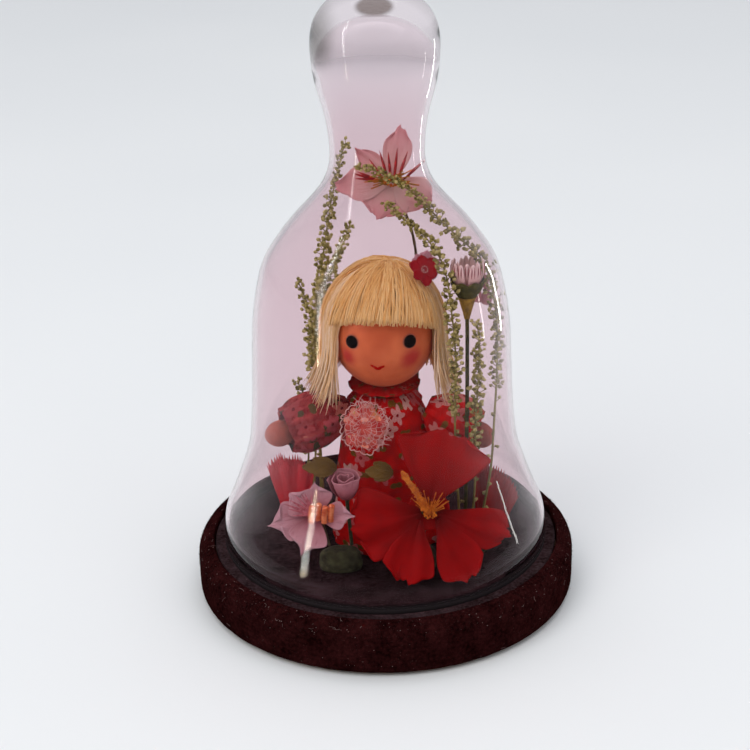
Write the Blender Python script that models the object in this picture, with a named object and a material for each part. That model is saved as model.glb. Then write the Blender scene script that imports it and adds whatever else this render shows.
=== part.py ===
"""A bell-shaped glass dome on a velvet base, over a yarn-haired doll in silk and dried flowers.

Dimensions are in millimetres, and MM turns them into metres where a mesh or a curve is made.
The origin is the centre of the base's underside, +Z is up and the doll faces -Y.
"""

import math

import bmesh
import bpy
from mathutils import Matrix, Vector

MM = 0.001
GAP = 0.3  # clearance kept between neighbouring pieces

# Base
BASE_RADIUS = 62.5
BASE_HEIGHT = 18.0
EDGE_ROUND = 5.0
VELVET_THICK = 1.4
WELL_RADIUS = 57.1  # the ring's inner edge, around the glass
FLOOR_TOP = 16.7  # the velvet that the glass and the doll stand on
FELT_THICK = 1.2
BOARD_TOP = 15.0
RIM_SEAT = 11.0  # the board's step, under the padded ring
BASE_SEGMENTS = 40

# Dome
GLASS_WALL = 1.5
RIM_RADIUS = 53.5
RIM_BEAD = 1.1
DOME_FOOT = FLOOR_TOP + GAP
DOME_TOP = 200.5
CROWN_GLASS = 7.0  # thick glass at the very top
DOME_SEGMENTS = 26

# Doll
DOLL_X = 0.7
HEAD_CENTRE_Z = 91.0
HEAD_RADIUS = 17.0
HEAD_HALF_HEIGHT = 19.5
HAIR_THICK = 3.0
HAIR_LIFT = 0.8  # extra yarn on top of the head
NECK_RADIUS = 2.5
SOCKET_TOP = 80.0
BODY_TOP = 66.0
EYE_RADIUS = 1.9

# Flowers
PETAL_THICK = 0.5
FAN_FULL = 0.72  # how far along a petal it is widest
WIRE_RADIUS = 0.45

# Colours
FELT = (0.05, 0.03, 0.03)
VELVET = (0.055, 0.012, 0.012)
FLOOR_VELVET = (0.060, 0.045, 0.052)
WOOD = (0.42, 0.28, 0.16)
GLASS = (0.92, 0.88, 0.92)
BLACK = (0.01, 0.01, 0.01)
CLAY = (0.05, 0.07, 0.03)
SKIN = (0.62, 0.22, 0.12)
YARN = (0.72, 0.47, 0.20)
WADDING = (0.55, 0.42, 0.30)
COTTON_RED = (0.42, 0.01, 0.01)
COTTON_ROSE = (0.30, 0.05, 0.06)
COLLAR_RED = (0.20, 0.01, 0.01)
LACE_PINK = (0.70, 0.45, 0.42)
SILK_RED = (0.55, 0.004, 0.006)
SILK_PINK = (0.62, 0.26, 0.30)
SILK_LILAC = (0.50, 0.26, 0.33)
SILK_WHITE = (0.75, 0.60, 0.58)
SILK_ORANGE = (0.65, 0.22, 0.06)
SILK_GREEN = (0.05, 0.09, 0.03)
DRIED_GREEN = (0.22, 0.21, 0.08)
POLLEN = (0.65, 0.30, 0.02)
STAMEN_RED = (0.40, 0.02, 0.04)
DARK_WIRE = (0.10, 0.05, 0.03)


# ---------------------------------------------------------------- tools

def clear_scene():
    for thing in list(bpy.data.objects):
        bpy.data.objects.remove(thing)


def finish(name, data, colour, roughness=0.8, alpha=1.0):
    """Links one object with its own Principled material and shades it smooth."""
    thing = bpy.data.objects.new(name, data)
    bpy.context.collection.objects.link(thing)
    paint = bpy.data.materials.new(name)
    paint.use_nodes = True
    shader = paint.node_tree.nodes["Principled BSDF"]
    shader.inputs["Base Color"].default_value = (*colour, 1.0)
    shader.inputs["Roughness"].default_value = roughness
    shader.inputs["Metallic"].default_value = 0.0
    shader.inputs["Alpha"].default_value = alpha
    data.materials.append(paint)
    if thing.type == "MESH":
        data.shade_smooth()
        data.set_sharp_from_angle(angle=math.radians(50))
    return thing


def to_mesh(name, bm):
    bmesh.ops.recalc_face_normals(bm, faces=bm.faces)
    mesh = bpy.data.meshes.new(name)
    bm.to_mesh(mesh)
    bm.free()
    return mesh


def turned(name, profile, segments, closed=False):
    """A mesh turned about Z from (radius, height) points: axis to axis, or a closed outline."""
    bm = bmesh.new()
    verts = [bm.verts.new((r * MM, 0.0, z * MM)) for r, z in profile]
    pairs = list(zip(verts, verts[1:]))
    if closed:
        pairs.append((verts[-1], verts[0]))
    edges = [bm.edges.new((a, b)) for a, b in pairs if a.co.x > 0 or b.co.x > 0]
    bmesh.ops.spin(bm, geom=verts + edges, axis=(0, 0, 1), cent=(0, 0, 0),
                   angle=math.tau, steps=segments, use_merge=True)
    bmesh.ops.remove_doubles(bm, verts=bm.verts, dist=1e-6)
    return to_mesh(name, bm)


def wedge(name, outline, start_deg, sweep_deg, steps):
    """A closed (radius, height) outline swept part of the way round Z. 0 degrees is the front, -Y."""
    start = math.radians(start_deg - 90)
    bm = bmesh.new()
    verts = [bm.verts.new((r * math.cos(start) * MM, r * math.sin(start) * MM, z * MM))
             for r, z in outline]
    face = bm.faces.new(verts)
    bmesh.ops.spin(bm, geom=[face], axis=(0, 0, 1), cent=(0, 0, 0),
                   angle=math.radians(sweep_deg), steps=steps)
    return to_mesh(name, bm)


def sheet(name, rows, colour, wrap=False, thick=PETAL_THICK, roughness=0.75):
    """A thin curved piece of cloth from a grid of points in metres, thickened to a solid."""
    bm = bmesh.new()
    grid = [[bm.verts.new(p) for p in row] for row in rows]
    across = len(rows[0])
    for near, far in zip(grid, grid[1:]):
        for k in range(across if wrap else across - 1):
            n = (k + 1) % across
            bm.faces.new((near[k], near[n], far[n], far[k]))
    piece = finish(name, to_mesh(name, bm), colour, roughness)
    solid = piece.modifiers.new("Thickness", "SOLIDIFY")
    solid.thickness = thick * MM
    solid.offset = 0.0
    return piece


def facing(origin, up, normal):
    """The matrix that puts local Z on normal and local Y as near up as it can, at origin."""
    z = Vector(normal).normalized()
    x = Vector(up).cross(z).normalized()
    y = z.cross(x)
    turn = Matrix((x, y, z)).transposed().to_4x4()
    return Matrix.Translation(Vector(origin) * MM) @ turn


def smooth_route(points, count):
    """Points evenly spread in parameter on a Catmull-Rom curve through the given ones."""
    pts = [Vector(p) for p in points]
    pts = [2 * pts[0] - pts[1]] + pts + [2 * pts[-1] - pts[-2]]
    spans = len(pts) - 3
    route = []
    for k in range(count):
        t = k / (count - 1) * spans
        i = min(int(t), spans - 1)
        t -= i
        a, b, c, d = pts[i:i + 4]
        route.append(0.5 * (2 * b + (c - a) * t + (2 * a - 5 * b + 4 * c - d) * t ** 2
                            + (3 * b - a - 3 * c + d) * t ** 3))
    return route


def stalk(name, points, radius, colour, count=14, sides_level=1, swell=None):
    """A round stem along a smooth route. swell(u) scales the radius from base, u 0, to tip, u 1."""
    curve = bpy.data.curves.new(name, "CURVE")
    curve.dimensions = "3D"
    curve.bevel_depth = radius * MM
    curve.bevel_resolution = sides_level
    curve.use_fill_caps = True
    line = curve.splines.new("POLY")
    line.points.add(count - 1)
    for k, p in enumerate(smooth_route(points, count)):
        line.points[k].co = (*(p * MM), 1.0)
        line.points[k].radius = swell(k / (count - 1)) if swell else 1.0
    return finish(name, curve, colour)


def axis_frame(origin, direction):
    """The matrix that stands local Z along direction, at origin."""
    turn = Vector(direction).normalized().to_track_quat("Z", "Y").to_matrix().to_4x4()
    return Matrix.Translation(Vector(origin) * MM) @ turn


def between(a, b, t):
    return a + (b - a) * t


# ---------------------------------------------------------------- base

def rounded_corner(radius, height, bend, steps):
    """The outer top corner of the base, from the side up and in over the top."""
    arc = []
    for k in range(steps + 1):
        a = math.pi / 2 * k / steps
        arc.append((radius - bend + bend * math.cos(a), height - bend + bend * math.sin(a)))
    return arc


def make_base():
    felt = [(0, 0), (59.0, 0), (59.0, FELT_THICK), (0, FELT_THICK)]
    finish("base_felt", turned("base_felt", felt, BASE_SEGMENTS), FELT, 0.95)

    low = FELT_THICK + GAP
    side = BASE_RADIUS - VELVET_THICK - GAP
    well = WELL_RADIUS - GAP
    board = [(0, low), (side, low), (side, RIM_SEAT), (well, RIM_SEAT), (well, BOARD_TOP),
             (0, BOARD_TOP)]
    finish("base_board", turned("base_board", board, BASE_SEGMENTS), WOOD, 0.6)

    ring = [(side + GAP, low), (BASE_RADIUS - 0.8, low - 0.4), (BASE_RADIUS, low + 1.2)]
    ring += rounded_corner(BASE_RADIUS, BASE_HEIGHT, EDGE_ROUND, 5)
    ring += [(WELL_RADIUS, BASE_HEIGHT - 0.8), (WELL_RADIUS, RIM_SEAT + GAP),
             (side + GAP, RIM_SEAT + GAP)]
    velvet = turned("velvet_ring", ring, BASE_SEGMENTS, closed=True)
    finish("velvet_ring", velvet, VELVET, 0.9)

    floor = [(0, BOARD_TOP + GAP), (well, BOARD_TOP + GAP), (well, FLOOR_TOP - 0.3),
             (well - 0.3, FLOOR_TOP), (0, FLOOR_TOP)]
    finish("velvet_floor", turned("velvet_floor", floor, BASE_SEGMENTS), FLOOR_VELVET, 0.9)


# ---------------------------------------------------------------- dome

# The bell's outline, as (height above the ring's top, radius) at the places where it bends.
BELL = [(1.0, 53.5), (6.0, 53.4), (10.0, 52.5), (16.0, 50.0), (24.0, 47.0), (34.0, 43.9),
        (46.0, 42.5), (62.0, 41.7), (78.0, 40.8), (89.0, 38.9), (96.0, 36.8), (103.0, 32.5),
        (110.0, 27.0), (117.0, 20.6), (122.0, 17.0), (128.0, 14.9), (135.0, 14.8),
        (143.0, 15.9), (153.0, 18.5), (160.0, 19.5), (166.0, 19.6)]
BULB_TOP_HEIGHT = 166.0
BULB_RADIUS = 19.6


def dome_outline():
    """The glass as one closed outline: up the outside, over the crown, down the inside."""
    outside = [(r, h + BASE_HEIGHT) for h, r in BELL]
    rise = DOME_TOP - BASE_HEIGHT - BULB_TOP_HEIGHT
    crown = []
    for k in range(1, 5):
        a = math.pi / 2 * k / 5
        crown.append((BULB_RADIUS * math.cos(a), DOME_TOP - rise + rise * math.sin(a)))
    crown.append((0, DOME_TOP))

    inside = []
    for before, here, after in zip(outside, outside[1:], outside[2:]):
        along = Vector((after[0] - before[0], after[1] - before[1])).normalized()
        inside.append((here[0] - along.y * GLASS_WALL, here[1] + along.x * GLASS_WALL))
    hollow_rise = DOME_TOP - CROWN_GLASS - (BASE_HEIGHT + BULB_TOP_HEIGHT - 4)
    ceiling = [(0, DOME_TOP - CROWN_GLASS)]
    for k in range(1, 4):
        a = math.pi / 2 * (1 - k / 4)
        ceiling.append(((BULB_RADIUS - GLASS_WALL - 0.6) * math.cos(a),
                        DOME_TOP - CROWN_GLASS - hollow_rise * (1 - math.sin(a))))
    bore = RIM_RADIUS - GLASS_WALL
    bead = [(bore - 0.7, DOME_FOOT + 2.6), (bore - RIM_BEAD, DOME_FOOT + 0.7), (bore, DOME_FOOT),
            (RIM_RADIUS - 0.3, DOME_FOOT), (RIM_RADIUS, DOME_FOOT + 0.7)]
    lower_inside = [p for p in inside if p[1] < BASE_HEIGHT + 162]
    return bead + outside + crown + ceiling + list(reversed(lower_inside))


def make_dome():
    glass = turned("glass_dome", dome_outline(), DOME_SEGMENTS, closed=True)
    finish("glass_dome", glass, GLASS, 0.03, alpha=0.25)


# ---------------------------------------------------------------- doll

def make_head():
    socket = NECK_RADIUS + GAP
    lowest = math.asin(socket / HEAD_RADIUS)
    profile = [(0, SOCKET_TOP), (socket, SOCKET_TOP)]
    for k in range(10):
        a = between(lowest, math.pi, k / 9)
        profile.append((HEAD_RADIUS * math.sin(a), HEAD_CENTRE_Z - HEAD_HALF_HEIGHT * math.cos(a)))
    profile[-1] = (0, HEAD_CENTRE_Z + HEAD_HALF_HEIGHT)
    head = finish("doll_head", turned("doll_head", profile, 20), SKIN, 0.55)
    head.location.x = DOLL_X * MM

    peg_foot, peg_top = BODY_TOP + GAP, SOCKET_TOP - 1
    peg = [(0, peg_foot), (NECK_RADIUS, peg_foot), (NECK_RADIUS, peg_top), (0, peg_top)]
    neck = finish("neck_peg", turned("neck_peg", peg, 12), WOOD, 0.6)
    neck.location.x = DOLL_X * MM

    for name, x, y, z in (("eye_left", -9.8, -13.9, 92.0), ("eye_right", 8.2, -14.9, 92.2)):
        out = Vector((x, y, (z - HEAD_CENTRE_Z) * 0.76)).normalized()
        bead = [(0, 0.45), (EYE_RADIUS, 0.45), (EYE_RADIUS * 0.9, 0.9), (0, 1.4)]
        eye = finish(name, turned(name, bead, 12), BLACK, 0.15)
        eye.matrix_world = axis_frame(Vector((x + DOLL_X, y, z)), out)


def hair_outline(crown_deg, edge_deg, hang_to=None, flare=0.0):
    """A layer of yarn from near the crown, by polar angle, down to its edge or hanging below."""
    inner_r, inner_h = HEAD_RADIUS + GAP + 0.1, HEAD_HALF_HEIGHT + GAP + 0.1
    outer_r, outer_h = inner_r + HAIR_THICK, inner_h + HAIR_THICK + HAIR_LIFT
    angles = [math.radians(between(crown_deg, edge_deg, k / 5)) for k in range(6)]
    outer = [(outer_r * math.sin(a), HEAD_CENTRE_Z + outer_h * math.cos(a)) for a in angles]
    inner = [(inner_r * math.sin(a), HEAD_CENTRE_Z + inner_h * math.cos(a)) for a in angles]
    if hang_to is not None:
        middle = between(HEAD_CENTRE_Z, hang_to, 0.5)
        outer += [(outer_r + flare * 0.4, middle), (outer_r + flare, hang_to)]
        inner += [(inner_r + flare * 0.4, middle), (inner_r + flare + 1.0, hang_to + 0.3)]
    return outer + list(reversed(inner))


def make_hair():
    parts = (
        ("hair_fringe", hair_outline(6, 66), -56, 112, 10),
        ("hair_back", hair_outline(6, 90, hang_to=72.0), 99, 162, 12),
        ("hair_lock_left", hair_outline(6, 90, hang_to=70.5, flare=1.6), -97, 39, 4),
        ("hair_lock_right", hair_outline(6, 90, hang_to=70.5, flare=1.6), 58, 39, 4),
    )
    for name, outline, start, sweep, steps in parts:
        yarn = finish(name, wedge(name, outline, start, sweep, steps), YARN, 0.9)
        yarn.location.x = DOLL_X * MM

    petals = lobed([18 + 72 * k for k in range(5)], [5.2] * 5, 3.2, 0.6, 0.5, 34)
    place = facing((14.6, -3.4, 112.6), (0, 0.4, 1), (0.42, -0.5, 0.75))
    sheet("hair_flower", transformed(petals, place), SILK_RED, wrap=True, thick=0.8)


def make_body():
    cone = [(0, 17.3), (15.0, 17.3), (15.0, 20.0), (13.6, 34.0), (12.0, 47.0), (10.2, 58.0),
            (8.0, 63.5), (5.0, BODY_TOP), (0, BODY_TOP)]
    body = finish("doll_body", turned("doll_body", cone, 20), WADDING, 0.8)
    body.location.x = DOLL_X * MM

    cloth = 0.8
    outside = [(18.4, 17.4), (18.2, 20.0), (17.0, 34.0), (15.6, 47.0), (14.2, 60.0),
               (12.4, 66.0), (8.8, 70.0)]
    dress = outside + [(r - cloth, z - 0.2) for r, z in reversed(outside)]
    dress[-1] = (outside[0][0] - cloth, outside[0][1])
    skirt = finish("dress", turned("dress", dress, 20, closed=True), COTTON_RED, 0.85)
    skirt.location.x = DOLL_X * MM

    ruff = [(6.4, 70.4), (8.6, 70.6), (12.0, 71.6), (12.4, 73.2), (10.4, 73.4), (7.6, 71.7),
            (6.4, 71.2)]
    collar = finish("collar", turned("collar", ruff, 18, closed=True), COLLAR_RED, 0.85)
    collar.location.x = DOLL_X * MM


def make_arm(side, shoulder, hand, cotton):
    """One felt arm with its rounded hand, inside a wide cotton sleeve that is open at the cuff."""
    start, end = Vector(shoulder), Vector(hand)
    reach = (end - start).length
    place = axis_frame(start, end - start)

    palm = 4.5
    arm = [(0, 0.6), (2.4, 0.6), (2.6, reach - 4.6)]
    for k in range(1, 6):
        a = math.pi * (0.18 + 0.82 * k / 5)
        arm.append((palm * math.sin(a), reach - palm * math.cos(a) * 1.15))
    arm[-1] = (0, reach + palm * 1.15)
    limb = finish(f"arm_{side}", turned(f"arm_{side}", arm, 12), SKIN, 0.85)
    limb.matrix_world = place

    cuff = reach - 3.4
    outside = [(4.4, 0.3), (6.4, cuff * 0.35), (8.2, cuff * 0.75), (8.8, cuff)]
    sleeve = outside + [(r - 0.8, z - 0.1) for r, z in reversed(outside)]
    sleeve[-1] = (3.6, 0.3)
    mesh = turned(f"sleeve_{side}", sleeve, 14, closed=True)
    cloth = finish(f"sleeve_{side}", mesh, cotton, 0.85)
    cloth.matrix_world = place


# ---------------------------------------------------------------- flowers

def transformed(rows, matrix):
    return [[matrix @ (Vector(p) * MM) for p in row] for row in rows]


def lobed(angles_deg, lengths, waist, inner, cup, count, rings=3, narrow=1.15):
    """A ring of silk with one lobe at each angle, rising towards its edge, as rows of points."""
    def reach(angle):
        best = waist
        for centre, length in zip(angles_deg, lengths):
            off = (math.degrees(angle) - centre + 180) % 360 - 180
            share = math.cos(math.radians(min(abs(off) * 180 / 72, 90)) * narrow)
            best = max(best, waist + (length - waist) * max(share, 0.0) ** 0.6)
        return best

    rows = []
    for i in range(rings + 1):
        u = i / rings
        row = []
        for k in range(count):
            a = math.tau * k / count
            r = between(inner, reach(a), u)
            row.append((r * math.cos(a), r * math.sin(a), cup * r / max(lengths)))
        rows.append(row)
    return rows


def petal_rows(angle_deg, length, half_width, root, cup, droop, lift, rows=6, cols=4):
    """One rounded petal that starts at the radius root, as rows of points in the flower's plane."""
    a = math.radians(angle_deg)
    along = Vector((math.cos(a), math.sin(a), 0))
    side = Vector((-math.sin(a), math.cos(a), 0))
    grid = []
    for i in range(rows + 1):
        u = i / rows
        fan = 0.18 + 0.82 * math.sin(math.pi / 2 * min(u / FAN_FULL, 1.0))
        tip = max(u - FAN_FULL, 0.0) / (1 - FAN_FULL)
        spread = half_width * fan * (1 - 0.42 * tip ** 2)
        row = []
        for j in range(cols + 1):
            v = 2 * j / cols - 1
            out = root + (length - root) * u * (1 - 0.12 * v * v * u)
            height = lift + cup * u * (1 - 0.5 * u) + cup * 0.4 * v * v * u - droop * u * u
            row.append(along * out + side * (v * spread) + Vector((0, 0, height)))
        grid.append(row)
    return grid


def calyx(name, place, back, length, colour=SILK_GREEN, mouth=1.8):
    """The green cup behind a flower, back mm behind its petals, on the flower's own axis."""
    cup = [(0, -back - length), (0.9, -back - length), (mouth * 0.8, -back - length * 0.5),
           (mouth, -back), (0, -back)]
    piece = finish(name, turned(name, cup, 10), colour, 0.8)
    piece.matrix_world = place


def tuft(name, place, low, high, colour, foot=0.7, head=1.5):
    """A bunch of stamens along the flower's own axis."""
    middle = between(low, high, 0.6)
    body = [(0, low), (foot, low), (head, middle), (head, high - 0.5), (0, high)]
    piece = finish(name, turned(name, body, 10), colour, 0.7)
    piece.matrix_world = place


def make_hibiscus():
    centre = Vector((14.0, -28.5, 39.4))
    place = facing(centre, (0, 0, 1), (0, -0.90, 0.43))
    petals = (
        ("top", 74, 27.0, 15.0, 2.0, 0.0, 1.2),
        ("right", -22, 27.5, 7.4, 2.0, 6.0, -1.0),
        ("lower_right", -61, 25.4, 8.6, 2.0, -1.0, 0.0),
        ("lower_left", -106, 23.5, 9.6, 2.0, -1.0, 1.0),
        ("left", 191, 25.5, 11.8, 2.0, 0.5, 0.0),
    )
    for name, angle, length, half_width, cup, droop, lift in petals:
        rows = petal_rows(angle, length, half_width, 2.6, cup, droop, lift)
        sheet(f"hibiscus_petal_{name}", transformed(rows, place), SILK_RED)

    column = [centre + Vector(p) for p in ((0.0, -0.9, 0.5), (-1.6, -3.6, 4.2), (-8.6, -7.6, 18.5))]
    stalk("hibiscus_column", column, 1.0, POLLEN, count=8, swell=lambda u: 1.15 - 0.35 * u)
    calyx("hibiscus_calyx", place, 1.8, 4.6, mouth=2.4)
    foot = (12.0, -23.0, 24.8)
    back = place @ (Vector((0, 0, -7.0)) * MM) / MM
    bend = back.lerp(Vector(foot), 0.55) + Vector((0.0, 2.2, 0.0))
    stalk("hibiscus_wire", [foot, bend, back], WIRE_RADIUS, SILK_GREEN, count=8)


def make_pink_blossom():
    centre = Vector((-21.4, -27.8, 38.4))
    place = facing(centre, (0, 0, 1), (-0.12, -0.86, 0.50))
    rows = lobed([195, 253, 143, 96, 2], [15.6, 13.5, 11.5, 11.0, 12.5], 5.5, 1.5, 2.0, 30, rings=2)
    sheet("pink_blossom_petals", transformed(rows, place), SILK_PINK, wrap=True)
    tuft("pink_blossom_stamens", place, -0.2, 6.5, STAMEN_RED)
    calyx("pink_blossom_calyx", place, 0.6, 4.0, SILK_ORANGE)
    back = place @ (Vector((0, 0, -5.0)) * MM) / MM
    foot = (-18.0, -23.0, 24.8)
    bend = back.lerp(Vector(foot), 0.5) + Vector((0.0, 1.2, 0.0))
    stalk("pink_blossom_wire", [foot, bend, back], WIRE_RADIUS, SILK_GREEN, count=8)


def make_top_blossom():
    centre = Vector((4.4, -0.5, 139.5))
    place = facing(centre, (0, 0, 1), (0.0, -0.92, 0.39))
    rows = lobed([80, 135, 186, 243, 322], [18.0, 15.5, 18.0, 13.0, 14.5], 5.0, 1.5, 1.0, 30, rings=2)
    sheet("top_blossom_petals", transformed(rows, place), SILK_PINK, wrap=True)
    tuft("top_blossom_stamens", place, -0.2, 4.6, STAMEN_RED)
    calyx("top_blossom_calyx", place, 0.6, 3.0)
    back = place @ (Vector((0, 0, -4.0)) * MM) / MM
    route = [(11.0, 24.0, 24.8), (12.0, 24.0, 60.0), (12.5, 22.8, 95.0), (10.8, 10.5, 118.0), back]
    stalk("top_blossom_wire", route, WIRE_RADIUS, DARK_WIRE, count=14)


def make_small_flowers():
    bud_profile = [(0, 0), (0.6, 0), (0.6, 17.0), (3.4, 18.4), (4.4, 21.5), (3.8, 24.6), (0, 26.0)]
    bud = finish("rosebud", turned("rosebud", bud_profile, 12), SILK_LILAC, 0.8)
    bud.matrix_world = axis_frame((-11.0, -22.6, 24.8), (-0.06, -0.10, 1.0))

    daisy_axis = Vector((27.0, -7.4, 0.0))
    stem = [(26.0, -13.6, 25.0), (26.2, -16.4, 52.0), (26.6, -14.0, 74.0), (27.0, -9.0, 90.0),
            daisy_axis + Vector((0.0, 0.0, 98.5))]
    stalk("daisy_stem", stem, 1.0, DRIED_GREEN, count=12, swell=lambda u: 0.6 + 0.9 * u ** 6)
    cup = [(0, 99.0), (1.6, 99.0), (4.0, 102.4), (5.0, 105.4), (4.2, 105.4), (3.2, 103.0), (0, 102.0)]
    green = finish("daisy_calyx", turned("daisy_calyx", cup, 14), SILK_GREEN, 0.85)
    green.location = daisy_axis * MM
    bloom = [(0, 102.4), (2.7, 103.3), (3.8, 105.4), (4.6, 108.0), (3.6, 111.6), (0, 110.0)]
    white = finish("daisy_bud", turned("daisy_bud", bloom, 14), SILK_WHITE, 0.85)
    white.location = daisy_axis * MM

    place = facing((33.0, 5.0, 101.0), (0, 0, 1), (-0.5, -0.85, 0.1))
    rows = lobed([90, 162, 234, 306, 18], [6.5, 4.4, 5.5, 5.5, 3.6], 2.2, 0.6, 0.8, 30, rings=2)
    sheet("side_blossom", transformed(rows, place), SILK_PINK, wrap=True)

    place = facing((29.6, -13.2, 65.5), (0, 0, 1), (0.1, -0.95, 0.2))
    rows = lobed([90, 210, 330], [3.6, 2.6, 2.6], 1.6, 0.5, 0.8, 18, rings=2)
    sheet("orange_blossom", transformed(rows, place), SILK_ORANGE, wrap=True)


def serrated(width, height, foot, teeth, bow):
    """A fan-shaped carnation petal with a toothed top edge, as rows of points."""
    count = 2 * teeth
    rows = []
    for i in range(5):
        u = i / 4
        row = []
        for j in range(count + 1):
            v = 2 * j / count - 1
            tooth = 1.0 - (0.07 if j % 2 else 0.0) * (u > 0.9)
            half = between(foot, width / 2, u ** 0.6)
            row.append((v * half, height * u * tooth * (1 - 0.12 * v * v), bow * (1 - v * v)))
        rows.append(row)
    return rows


def make_carnations_and_leaves():
    place = facing((-29.0, -13.6, 25.0), (-0.12, 0.02, 1), (-0.35, -0.9, 0.2))
    sheet("carnation_left", transformed(serrated(17.0, 27.0, 0.8, 5, 1.6), place), SILK_RED)
    place = facing((31.5, -5.0, 24.8), (0.34, 0.0, 1), (0.1, -0.95, 0.3))
    sheet("carnation_right", transformed(serrated(16.0, 20.0, 0.9, 5, 1.6), place), SILK_RED)

    leaves = (
        ("leaf_front", (3.0, -24.6, 52.0), (-1.0, 0.0, 0.05), (0, -0.9, 0.4), 9.0, 3.0),
        ("leaf_left", (-14.6, -22.4, 52.6), (-1.0, 0.0, 0.10), (0, -0.9, 0.4), 11.0, 3.0),
    )
    for name, base, up, normal, length, half_width in leaves:
        rows = []
        for i in range(7):
            u = i / 6
            half = half_width * (0.08 + math.sin(math.pi * (0.04 + 0.92 * u)))
            rows.append([(v * half, length * u, 0.5 * abs(v)) for v in (-1, 0, 1)])
        sheet(name, transformed(rows, facing(base, up, normal)), SILK_GREEN, thick=0.6)


def make_lace():
    place = facing((-5.8, -17.0, 64.2), (0, 0, 1), (-0.1, -0.95, 0.28))
    rows = lobed([30 * k for k in range(12)], [7.4] * 12, 6.6, 0.8, 1.4, 24, rings=2)
    tall = [[(x, y * 1.15, z) for x, y, z in row] for row in rows]
    sheet("lace_rosette", transformed(tall, place), LACE_PINK, wrap=True, thick=0.8)


# ---------------------------------------------------------------- dried sprigs and their clay

SPRIGS = {
    "sprig_left_tall": [
        (-21.6, 13.2, 25.0), (-21.4, 12.0, 78.4), (-20.2, 11.0, 96.4), (-18.4, 10.0, 109.8),
        (-16.3, 8.0, 122.9), (-14.4, 4.5, 134.0), (-11.6, 2.0, 146.4), (-9.6, 1.0, 152.0),
    ],
    "sprig_left_mid": [
        (-20.6, 9.4, 25.0), (-21.6, 6.6, 66.0), (-22.6, 4.8, 80.0), (-21.4, 4.4, 92.0),
        (-18.4, 4.0, 102.6), (-14.2, 3.0, 112.0), (-10.9, 1.0, 120.0), (-9.0, 0.0, 125.0),
    ],
    "sprig_left_back": [
        (-24.2, 17.4, 25.0), (-21.9, 17.2, 60.0), (-22.3, 17.0, 80.0), (-24.2, 16.0, 93.0),
        (-26.6, 14.4, 101.6),
    ],
    "sprig_left_low": [
        (-26.4, 12.4, 25.0), (-24.9, 11.4, 50.0), (-25.7, 11.0, 61.0), (-28.0, 10.6, 68.0),
    ],
    "sprig_right_outer": [
        (31.4, -9.6, 25.0), (34.2, -11.8, 46.0), (35.0, -13.4, 64.0), (36.0, -10.6, 80.0),
        (36.2, -6.6, 95.0), (34.2, -5.0, 108.1), (30.8, -4.8, 115.6), (24.6, -5.0, 122.0),
        (18.6, -6.0, 128.4), (12.6, -7.6, 135.6), (6.9, -9.2, 141.5), (0.0, -8.6, 145.4),
        (-5.6, -7.2, 146.4),
    ],
    "sprig_right_inner": [
        (24.4, -15.6, 25.0), (23.2, -16.6, 46.0), (22.6, -17.0, 65.0), (22.9, -16.4, 79.0),
        (22.8, -14.6, 91.4), (21.6, -12.4, 103.0), (20.6, -11.0, 111.0), (17.9, -10.0, 118.6),
        (12.3, -9.8, 126.4), (6.5, -10.4, 131.2), (2.4, -11.0, 136.0),
    ],
    "sprig_right_middle": [
        (28.0, -15.0, 25.0), (28.9, -17.6, 46.0), (28.8, -18.2, 62.0), (29.9, -15.6, 80.0),
        (30.2, -13.2, 92.0), (29.6, -11.6, 97.0),
    ],
}
SPIKE_START = 0.34  # where the bare stalk ends and the seed heads begin


def spike(u):
    """The sprig's radius over its stalk's: bare below, then full of seed heads, thin at the tip."""
    if u < SPIKE_START:
        return 0.55
    share = (u - SPIKE_START) / (1 - SPIKE_START)
    return 0.9 + 0.9 * math.sin(math.pi * min(share * 0.9 + 0.08, 1.0))


def make_sprigs():
    for name, route in SPRIGS.items():
        stalk(name, route, 0.8, DRIED_GREEN, count=3 + 2 * len(route), swell=spike)


def make_clay():
    """The lumps of florist's clay that the wires and stalks are stuck into."""
    lumps = (
        ("clay_left", -23.6, 13.6, 5.8, 7.2),
        ("clay_right", 28.6, -11.0, 5.8, 7.4),
        ("clay_back", 11.0, 25.0, 4.4, 4.4),
        ("clay_front_left", -14.4, -24.0, 7.0, 4.0),
        ("clay_front_right", 12.0, -24.0, 4.4, 4.0),
    )
    for name, x, y, across, deep in lumps:
        low = FLOOR_TOP + GAP
        lump = [(0, low), (0.95, low), (1.0, low + 1.6), (0.95, low + 5.4), (0.74, low + 7.0),
                (0, low + 7.4)]
        mesh = turned(name, lump, 14)
        mesh.transform(Matrix.Diagonal((across, deep, 1.0, 1.0)))
        clay = finish(name, mesh, CLAY, 0.9)
        clay.location = (x * MM, y * MM, 0.0)


def main():
    clear_scene()
    make_base()
    make_dome()
    make_head()
    make_hair()
    make_body()
    make_arm("left", (-16.4, -4.8, 63.4), (-34.0, -11.6, 59.4), COTTON_ROSE)
    make_arm("right", (17.6, -3.6, 62.4), (32.4, -7.0, 55.0), COTTON_RED)
    make_hibiscus()
    make_pink_blossom()
    make_top_blossom()
    make_small_flowers()
    make_carnations_and_leaves()
    make_lace()
    make_sprigs()
    make_clay()


main()
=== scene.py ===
"""The looks of a bell-shaped glass dome over a yarn-haired doll in silk and dried flowers.

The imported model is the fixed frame, and every piece takes its place and size from a node of it.
Lengths inside the functions are millimetres, and MM turns them into metres.
"""

import math
import random
from functools import lru_cache

import bmesh
import bpy
import numpy as np
from mathutils import Matrix, Vector, noise


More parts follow.
